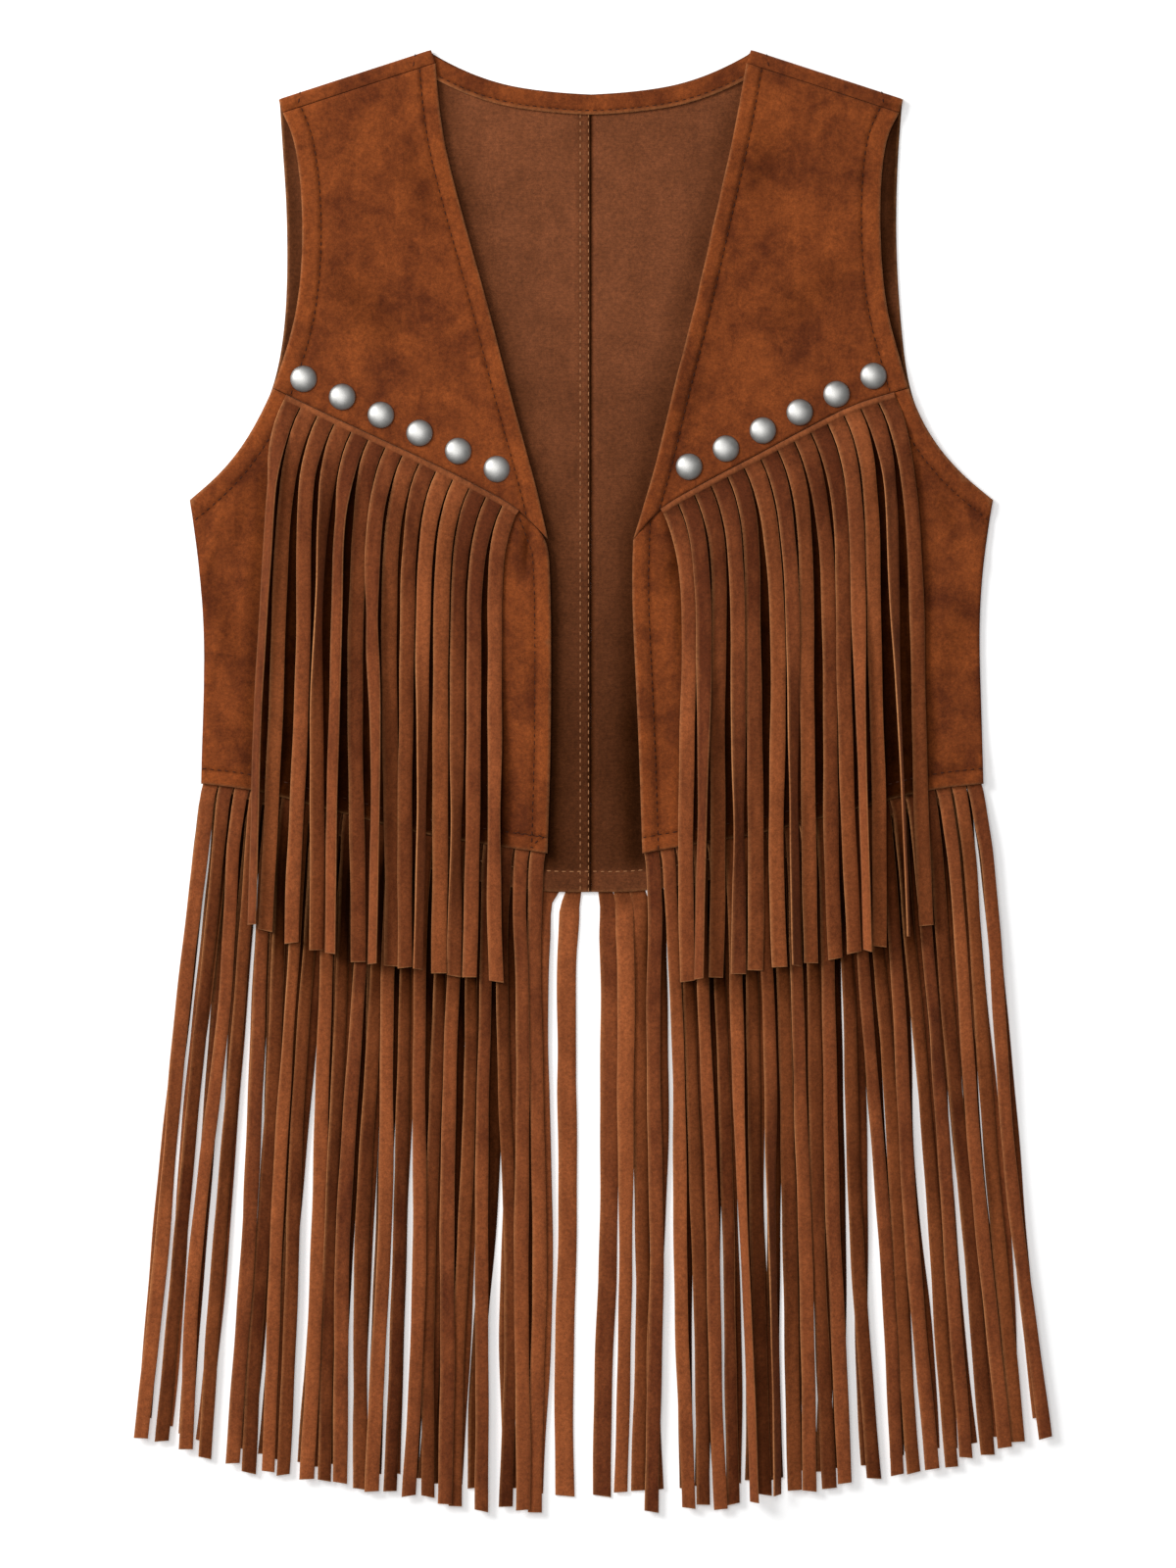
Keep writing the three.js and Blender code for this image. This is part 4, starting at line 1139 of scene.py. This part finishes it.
class VEST_OT_neck_facing(bpy.types.Operator):
    """The narrow band inside the back neckline, with its rolled lower edge"""

    bl_idname = "vest.neck_facing"
    bl_label = "Neck facing"

    def execute(self, context):
        node = "back_neck_facing"
        points, faces = refined(upper_sheet(node, Vector((0, 0.379))))
        points = points - normals_of(points, faces) * FACING_HALF * MM
        outline = outline_of(points, faces, 1)
        low = outline[outline[:, 1] < np.interp(np.abs(outline[:, 0]), [0, 40, 80, 95], [380, 383, 397, 402])]
        low = evenly(low[np.argsort(low[:, 0])], 1.0)
        places = points[:, :2] / MM
        gap, along = nearest(places, low)
        height = 0.75 * np.exp(-(((gap - 0.8) / 0.9) ** 2)) - 0.25 * np.exp(-(((gap - 2.5) / 0.8) ** 2))
        height += 0.06 * np.sin(along * math.tau / 7) * np.exp(-((gap - 2.4) / 2.4) ** 2)
        points[:, 2] += height * MM
        # Painted shade in the stitch groove, and a painted highlight on the rolled lip
        marks = {"dark": 0.35 * np.exp(-(((gap - FACING_SEAM) / 0.8) ** 2)),
                 "cut": 0.4 * np.exp(-((gap / 1.2) ** 2))}
        mesh = shell(node, points, faces, FACING_HALF * MM, marks)
        piece = show("neck_facing_band", mesh, outer_suede())
        tree = surface_of(mesh)
        seam_rows["neck_facing"] = [drop(beside(low, FACING_SEAM), 1, tree)]
        in_place_of(piece, "suede", node)
        return {"FINISHED"}


class VEST_OT_front_yokes(bpy.types.Operator):
    """The two front yokes, from the shoulder to the slanting seam"""

    bl_idname = "vest.front_yokes"
    bl_label = "Front yokes"

    def execute(self, context):
        for side in SIDES:
            piece, area, outline = sewn_panel("front_yoke", side, "suede", outer_suede())
        return {"FINISHED"}


class VEST_OT_lower_fronts(bpy.types.Operator):
    """The two lower fronts, from the slanting seam to the hem"""

    bl_idname = "vest.lower_fronts"
    bl_label = "Lower fronts"

    def execute(self, context):
        for side in SIDES:
            piece, area, outline = sewn_panel("front_lower", side, "suede", outer_suede())
        return {"FINISHED"}


class VEST_OT_chest_fringe(bpy.types.Operator):
    """The strips that hang from the yoke seams"""

    bl_idname = "vest.chest_fringe"
    bl_label = "Chest fringe"

    def execute(self, context):
        for side in SIDES:
            made = fringe("chest_fringe", side)
        return {"FINISHED"}


class VEST_OT_hem_fringes(bpy.types.Operator):
    """The strips under the front and back hems"""

    bl_idname = "vest.hem_fringes"
    bl_label = "Hem fringes"

    def execute(self, context):
        for side in SIDES:
            made = fringe("hem_fringe_back", side)
            made = fringe("hem_fringe_front", side)
        return {"FINISHED"}


class VEST_OT_studs(bpy.types.Operator):
    """The row of domed studs on each yoke"""

    bl_idname = "vest.studs"
    bl_label = "Studs"

    def execute(self, context):
        sizes = context.scene.vest_studs
        dome = linked("stud", dome_mesh(sizes.radius, sizes.height))
        made = stud_tree()
        metal = satin_metal()
        for side in SIDES:
            nodes = [f"stud_{side}_{number}" for number in range(1, STUD_COUNT + 1)]
            places = []
            for node in nodes:
                low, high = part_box(node)
                places.append(((low.x + high.x) / 2, (low.y + high.y) / 2, low.z))
            values = {"Stud": dome, "Seed": sizes.seed, "Material": metal}
            piece = grown(f"studs_{side}_row", rows_mesh("studs", [[place] for place in places]), made, values)
            in_place_of(piece, "stud_metal", *nodes)
        bpy.data.objects.remove(dome)
        return {"FINISHED"}


def dome_mesh(radius, height):
    """A domed cap with a rolled rim"""
    profile = [(0.0, 0.0), (0.93 * radius, 0.0), (0.985 * radius, 0.05 * height), (radius, 0.14 * height),
               (0.992 * radius, 0.22 * height), (0.965 * radius, 0.28 * height)]
    start = math.radians(14)
    for step in range(1, 12):
        angle = start + (math.pi / 2 - start) * step / 11
        profile.append((0.985 * radius * math.cos(angle), height * (0.06 + 0.94 * math.sin(angle))))
    profile[-1] = (0.0, height)
    turns = 40
    points, rings = [], []
    for reach, level in profile:
        if reach == 0:
            rings.append([len(points)])
            points.append((0, 0, level))
            continue
        rings.append(list(range(len(points), len(points) + turns)))
        points += [(reach * math.cos(math.tau * k / turns), reach * math.sin(math.tau * k / turns), level)
                   for k in range(turns)]
    faces = []
    for low, high in zip(rings, rings[1:]):
        for k in range(turns):
            after = (k + 1) % turns
            if len(low) == 1:
                faces.append((low[0], high[after], high[k]))
            elif len(high) == 1:
                faces.append((low[k], low[after], high[0]))
            else:
                faces.append((low[k], low[after], high[after], high[k]))
    mesh = bpy.data.meshes.new("stud")
    mesh.from_pydata(points, [], faces)
    mesh.update()
    return mesh


class VEST_OT_stitching(bpy.types.Operator):
    """The rows of stitches along the edges, hems and centre seam"""

    bl_idname = "vest.stitching"
    bl_label = "Stitching"

    def execute(self, context):
        colours = context.scene.vest_suede
        rust = thread("rust_thread", colours.thread)
        pale = thread("pale_thread", colours.thread_inside)
        groups = ("front_yoke", "front_lower", "neck_facing", "shoulder")
        rows = [row for group in groups for row in seam_rows[group]]
        stitched("front_stitches", rows, rust, "suede")
        stitched("back_stitches", seam_rows["back"], pale, "suede_inside")
        return {"FINISHED"}


class VEST_OT_stage(bpy.types.Operator):
    """The floor, the soft light and the camera that looks straight down"""

    bl_idname = "vest.stage"
    bl_label = "Stage"

    def execute(self, context):
        scene = context.scene
        stage = scene.vest_stage
        mesh = bpy.data.meshes.new("floor")
        reach = 4.0
        corners = [(-reach, -reach), (reach, -reach), (reach, reach), (-reach, reach)]
        mesh.from_pydata([(x, y, -0.0002) for x, y in corners], [], [(0, 1, 2, 3)])
        material, tree, shader, place = new_material("pale_floor")
        shade = spread(tree, mottling(tree, place, 3.0, 3.0, 0.5), 0.3, 0.7, 0.985, 1.0)
        tree.links.new(shaded(tree, rgba(stage.floor), shade), shader.inputs["Base Color"])
        shader.inputs["Roughness"].default_value = 0.9
        shader.inputs["Emission Color"].default_value = (1, 1, 1, 1)
        shader.inputs["Emission Strength"].default_value = FLOOR_GLOW
        show("floor", mesh, material)
        world = bpy.data.worlds.new("surround")
        world.use_nodes = True
        world.node_tree.nodes["Background"].inputs["Color"].default_value = (1, 1, 1, 1)
        world.node_tree.nodes["Background"].inputs["Strength"].default_value = stage.surround
        scene.world = world
        lamps = (
            ("key_light", (-1.75, 1.15, 1.75), 1.1, stage.key),
            ("top_light", (-0.55, 0.4, 3.4), 1.5, stage.top),
        )
        for name, place, size, power in lamps:
            light = bpy.data.lights.new(name, "AREA")
            light.size = size
            light.energy = power
            lamp = linked(name, light)
            lamp.location = place
            lamp.rotation_euler = Vector(place).to_track_quat("Z", "Y").to_euler()
        camera = linked("camera", bpy.data.cameras.new("camera"))
        camera.location = (-0.00165, -0.0022, stage.camera_height)
        camera.data.lens = camera.data.sensor_width * stage.camera_height / stage.view_height
        camera.data.clip_end = 30.0
        scene.camera = camera
        scene.view_settings.view_transform = "Standard"
        return {"FINISHED"}


class VEST_PT_sidebar(bpy.types.Panel):
    """The vest's pieces and sizes"""

    bl_label = "Vest"
    bl_idname = "VEST_PT_sidebar"
    bl_space_type = "VIEW_3D"
    bl_region_type = "UI"
    bl_category = "Vest"

    def draw(self, context):
        for name, group in GROUPS.items():
            box = self.layout.box()
            box.label(text=group.__doc__)
            for size in group.__annotations__:
                box.prop(getattr(context.scene, name), size)
        for piece in PIECES:
            self.layout.operator(piece.bl_idname)


GROUPS = {
    "vest_suede": VestSuede,
    "vest_sewing": VestSewing,
    "vest_fringe": VestFringe,
    "vest_studs": VestStuds,
    "vest_stage": VestStage,
}
PIECES = (
    VEST_OT_stage,
    VEST_OT_back,
    VEST_OT_neck_facing,
    VEST_OT_front_yokes,
    VEST_OT_lower_fronts,
    VEST_OT_chest_fringe,
    VEST_OT_hem_fringes,
    VEST_OT_studs,
    VEST_OT_stitching,
)


def register():
    for made in (*GROUPS.values(), *PIECES, VEST_PT_sidebar):
        bpy.utils.register_class(made)
    for name, group in GROUPS.items():
        setattr(bpy.types.Scene, name, PointerProperty(type=group))


def unregister():
    for name in GROUPS:
        delattr(bpy.types.Scene, name)
    for made in reversed((*GROUPS.values(), *PIECES, VEST_PT_sidebar)):
        bpy.utils.unregister_class(made)


def main():
    register()
    bpy.ops.vest.stage()
    bpy.ops.vest.back()
    bpy.ops.vest.neck_facing()
    bpy.ops.vest.front_yokes()
    bpy.ops.vest.lower_fronts()
    bpy.ops.vest.chest_fringe()
    bpy.ops.vest.hem_fringes()
    bpy.ops.vest.studs()
    bpy.ops.vest.stitching()


if __name__ == "__main__":
    main()
